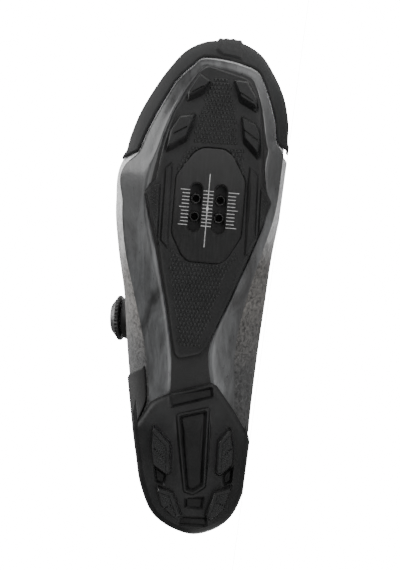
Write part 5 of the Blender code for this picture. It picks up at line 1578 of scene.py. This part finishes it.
def make_dial():
    mesh = bmesh.new()
    low, top, radius = -6 * MM, DIAL_BASE_HEIGHT, DIAL_BASE_RADIUS
    profile = [
        (0.1 * MM, top), (radius - 1.4 * MM, top), (radius - 0.4 * MM, top - 0.25 * MM),
        (radius, top - 0.9 * MM), (radius + 0.4 * MM, 0.6 * MM), (radius + 1.0 * MM, low + 3.6 * MM),
        (radius - 1.6 * MM, low + 3.2 * MM),
    ]
    turned(mesh, profile, dial_place(0), 96, False)
    cleaned(mesh)
    put("dial_housing", mesh, [DIAL_BODY], ["dial_base"], 35)
    mesh = bmesh.new()
    radius, height = DIAL_RADIUS, 0.88 * DIAL_HEIGHT
    profile = [
        (0.1 * MM, height - 0.8 * MM, 0), (0.30 * radius, height - 0.8 * MM, 0),
        (0.44 * radius, height - 0.7 * MM, 0), (0.47 * radius, height - 0.2 * MM, 0),
        (0.50 * radius, height, 0), (0.60 * radius, height, 0),
        (0.64 * radius, height - 0.3 * MM, 0), (radius - 0.9 * MM, 0.47 * height, 0),
        (radius - 0.15 * MM, 0.42 * height, 0.6), (radius, 0.34 * height, 1), (radius, 0.22 * height, 1),
        (radius - 0.2 * MM, 0.8 * MM, 0.7), (radius - 1.0 * MM, 0.25 * MM, 0), (radius - 2 * MM, 0, 0),
        (0.1 * MM, 0, 0),
    ]
    place = dial_place(DIAL_BASE_HEIGHT + 2 * GAP)
    turned(mesh, profile, place, 8 * GRIPS, False, marked=(4, 5, 6))
    cleaned(mesh)
    put("dial_cap", mesh, [DIAL_BODY, DIAL_RIM], ["dial_knob"], 35)


def make_loops():
    for side_name, medial, shares in (("medial", True, MEDIAL_LOOPS), ("lateral", False, LATERAL_LOOPS)):
        for number, share in enumerate(shares, 1):
            x = share * LAST_LENGTH
            lift, bend = LACE_LIFT, LOOP_BEND
            section = [(LOOP_AT + LOOP_LEG * s, lift - bend) for s in (1.0, 0.8, 0.6, 0.4, 0.2)]
            for i in range(15):
                angle = math.radians(-90 - 180 * i / 14)
                section.append((LOOP_AT + bend * math.cos(angle), lift + bend * math.sin(angle)))
            for s in (0.2, 0.4, 0.6, 0.8, 1.0):
                fall = (2 * bend - LOOP_WEB - 0.25 * MM) * float(ramp(0.05, 1.0, np.array(s)))
                section.append((LOOP_AT + LOOP_LEG * s, lift + bend - fall))
            mesh = bmesh.new()
            widths = np.linspace(-0.5, 0.5, 7) * LOOP_WIDTH
            grids = []
            for offset in (-0.5, 0.5):
                away, height = np.array(section).T
                points = on_flap(x + widths[:, None], medial, away[None, :], height[None, :])
                along = np.gradient(points, axis=1)
                across = np.gradient(points, axis=0)
                normal = np.cross(along, across)
                normal /= np.linalg.norm(normal, axis=-1, keepdims=True)
                edge = np.interp(np.abs(widths) / LOOP_WIDTH, (0, 0.33, 0.5), (1, 1, 0.45))[:, None, None]
                grids.append(surface(mesh, points + normal * LOOP_WEB * offset * edge))
            end_walls(mesh, *grids)
            side_walls(mesh, *grids)
            cleaned(mesh)
            place = f"{side_name}_{number}"
            put(f"webbing_{place}", mesh, [WEB], [f"lace_loop_{place}"], 50)
            mesh = bmesh.new()
            for d in (LOOP_LEG * 0.62, LOOP_LEG * 0.84):
                line = on_flap(x + widths[1:-1], medial, LOOP_AT + d, lift - bend + 1.35 * MM)
                normals = [wall_normal(station(x, medial), below_throat(x, medial, LOOP_AT + d))] * len(line)
                stitches(mesh, line, normals, 1.0 * MM, 0.35 * MM, 0.5 * MM, 0.2 * MM)
            put(f"bar_tack_{place}", mesh, [THREAD], (), 60)


def make_cover():
    route = flow([(x * LAST_LENGTH, d, 0) for x, d in COVER_ROUTE], 1.5 * MM)
    along = np.gradient(route, axis=0)
    along /= np.linalg.norm(along, axis=1)[:, None]
    across = np.stack([-along[:, 1], along[:, 0]], -1)
    shares = np.linspace(-1, 1, 15)[None, :]
    end = np.sqrt(1 - np.abs(np.linspace(-1, 1, len(route))[:, None]) ** 14)
    x = route[:, :1] + across[:, :1] * shares * COVER_WIDTH / 2
    away = route[:, 1:2] + across[:, 1:2] * shares * COVER_WIDTH / 2
    rise = COVER_THICKNESS * (0.25 + 0.75 * ramp(1.0, 0.45, np.abs(shares))) * end
    bottom = on_flap(x, False, away, OVERLAY_GAP + 0 * rise)
    top = on_flap(x, False, away, OVERLAY_GAP + rise)
    mesh = bmesh.new()
    side_walls(mesh, surface(mesh, top), surface(mesh, bottom))
    cleaned(mesh)
    put("cable_channel", mesh, [COVER_FILM], ["cable_cover"], 40)


def over_crown(x):
    return off_wall(station(x, True), np.asarray(1.0), np.asarray(0.7 * MM))


def surface_w(point, medial):
    t = station(point[0], medial)
    w = np.linspace(-0.2, 1, 241)
    return float(w[np.argmin(np.linalg.norm(wall(t, w) - np.array(point), axis=-1))])


def make_lace():
    at, axis = dial_frame()
    guides = sorted([(x, True) for x in MEDIAL_LOOPS] + [(x, False) for x in LATERAL_LOOPS])
    first = on_flap(guides[0][0] * LAST_LENGTH - 5.8 * MM, True, 2.2 * MM, LACE_LIFT)
    aim = Vector(first) - at
    aim = (aim - axis * aim.dot(axis)).normalized()
    points = [at + aim * (DIAL_BASE_RADIUS + 1.6 * MM) + axis * 1.9 * MM]
    start_x = points[0].x
    end_x = guides[0][0] * LAST_LENGTH - 9 * MM
    start_w = surface_w(points[0], False)
    for share in (0.25, 0.5, 0.75, 1.0):
        x = start_x + (end_x - start_x) * share
        t = station(x, False)
        w = start_w + (float(top_edge(t)) - start_w) * share
        points.append(off_wall(t, np.asarray(w), np.asarray(LACE_LIFT)))
    points.append(over_crown(end_x + 1.5 * MM))
    for (share, medial), following in zip(guides, guides[1:] + [(COVER_ROUTE[0][0], False)]):
        x = share * LAST_LENGTH
        points.append(on_flap(x - 5.6 * MM, medial, 1.6 * MM, LACE_LIFT))
        for nudge in (-0.5, -0.28, 0, 0.28, 0.5):
            points.append(on_flap(x + nudge * LOOP_WIDTH, medial, LOOP_AT, LACE_LIFT))
        points.append(on_flap(x + 5.6 * MM, medial, 1.6 * MM, LACE_LIFT))
        if following[1] != medial:
            points.append(over_crown((x + following[0] * LAST_LENGTH) / 2))
    last_x, last_d = COVER_ROUTE[0]
    points.append(on_flap(last_x * LAST_LENGTH, False, 0.8 * MM, LACE_LIFT))
    points.append(on_flap(last_x * LAST_LENGTH - 0.3 * MM, False, last_d - 0.5 * MM, 1.5 * MM))
    path = flow(points, 1.2 * MM)
    mesh = bmesh.new()
    along = np.gradient(path, axis=0)
    along /= np.linalg.norm(along, axis=1)[:, None]
    up = np.cross(along[0], (0.3, 0.5, 0.8))
    rings = []
    for point, heading in zip(path, along):
        up = up - heading * (up @ heading)
        up /= np.linalg.norm(up)
        right = np.cross(heading, up)
        angles = np.linspace(0, 2 * math.pi, 12, endpoint=False)
        rings.append([point + (up * math.cos(a) + right * math.sin(a)) * LACE_DIAMETER / 2 for a in angles])
    grid = [[mesh.verts.new(p) for p in ring] for ring in rings]
    ring_walls(mesh, grid)
    mesh.faces.new(grid[0])
    mesh.faces.new(grid[-1])
    cleaned(mesh)
    put("lace_cable", mesh, [CABLE], ["lace"], 60)


make_forefoot_tread()
make_cleat_plate()
make_scale()
make_nut_plate()
make_heel_tread()
make_upper()
make_seams()
make_toe_guard()
make_heel_counter()
make_tongue()
make_insole()
make_dial()
make_loops()
make_cover()
make_lace()


# Camera, light and ground

AIM = Vector((142.0, -7.1, 5.0)) * MM
PICTURE_UP = Vector((0.998, -0.0621, 0))
PICTURE_RIGHT = Vector((0.0621, 0.998, 0))
DISTANCE = 1.735
VIEW_WIDTH = 400 * 0.569 * MM
SENSOR = 36.0
TOWARDS_US = Vector((0, 0, -1))
FLOOR_GLOW = 0.3
BACKDROP_GLOW = 17.0
WORLD_GLOW = 0.14
LIGHTS = (
    ("key", (-0.7, 0.9, 1.1), 0.9, 12),
    ("front", (-0.9, 0.2, 1.4), 1.0, 3),
    ("side", (-1.0, 0.3, -0.45), 0.7, 14),
    ("toe_side", (-0.2, 1.1, -0.35), 0.6, 7),
)


def make_camera():
    data = bpy.data.cameras.new("camera")
    data.sensor_width = SENSOR
    data.sensor_fit = "HORIZONTAL"
    data.lens = SENSOR * DISTANCE / VIEW_WIDTH
    data.clip_end = 20
    made = linked("camera", data)
    turn = Matrix((PICTURE_RIGHT, PICTURE_UP, TOWARDS_US)).transposed().to_4x4()
    turn.translation = AIM + TOWARDS_US * DISTANCE
    made.matrix_world = POSE @ turn
    bpy.context.scene.camera = made


def make_light(name, at, size, power):
    """A soft square light, its place given from the aim point as the picture's right, up and towards us."""
    data = bpy.data.lights.new(name, "AREA")
    data.shape = "SQUARE"
    data.size = size
    data.energy = power
    made = linked(name, data)
    place = AIM + PICTURE_RIGHT * at[0] + PICTURE_UP * at[1] + TOWARDS_US * at[2]
    place = POSE @ place
    aim = POSE @ AIM
    made.matrix_world = Matrix.Translation(place) @ (place - aim).to_track_quat("Z", "Y").to_matrix().to_4x4()


def emitting(name, strength):
    material = bpy.data.materials.new(name)
    material.use_nodes = True
    tree = material.node_tree
    tree.nodes.clear()
    glow = tree.nodes.new("ShaderNodeEmission")
    out = tree.nodes.new("ShaderNodeOutputMaterial")
    glow.inputs["Strength"].default_value = strength
    tree.links.new(glow.outputs[0], out.inputs[0])
    return material


def matte_floor():
    material = bpy.data.materials.new("pale_floor")
    material.use_nodes = True
    shader = material.node_tree.nodes["Principled BSDF"]
    shader.inputs["Base Color"].default_value = (0.92, 0.92, 0.92, 1)
    shader.inputs["Emission Color"].default_value = (1, 1, 1, 1)
    shader.inputs["Emission Strength"].default_value = FLOOR_GLOW
    shader.inputs["Roughness"].default_value = 0.9
    return material


def make_stage():
    """A pale floor whose front edge lies close before the shoe, and a bright panel far behind it."""
    floor = [(-1.5, -0.6, 0), (1.5, -0.6, 0), (1.5, 1.0, 0), (-1.5, 1.0, 0)]
    backdrop = [(-1.1, 3, -0.8), (1.1, 3, -0.8), (1.1, 3, 0.8), (-1.1, 3, 0.8)]
    panels = (
        ("floor", floor, matte_floor()),
        ("backdrop", backdrop, emitting("white_panel", BACKDROP_GLOW)),
    )
    for name, corners, material in panels:
        mesh = bmesh.new()
        mesh.faces.new([mesh.verts.new(c) for c in corners])
        data = bpy.data.meshes.new(name)
        mesh.to_mesh(data)
        mesh.free()
        data.materials.append(material)
        made = linked(name, data)


make_camera()
for light in LIGHTS:
    make_light(*light)
make_stage()
world = bpy.data.worlds.new("studio")
world.use_nodes = True
world.node_tree.nodes["Background"].inputs[0].default_value = (1, 1, 1, 1)
world.node_tree.nodes["Background"].inputs[1].default_value = WORLD_GLOW
bpy.context.scene.world = world
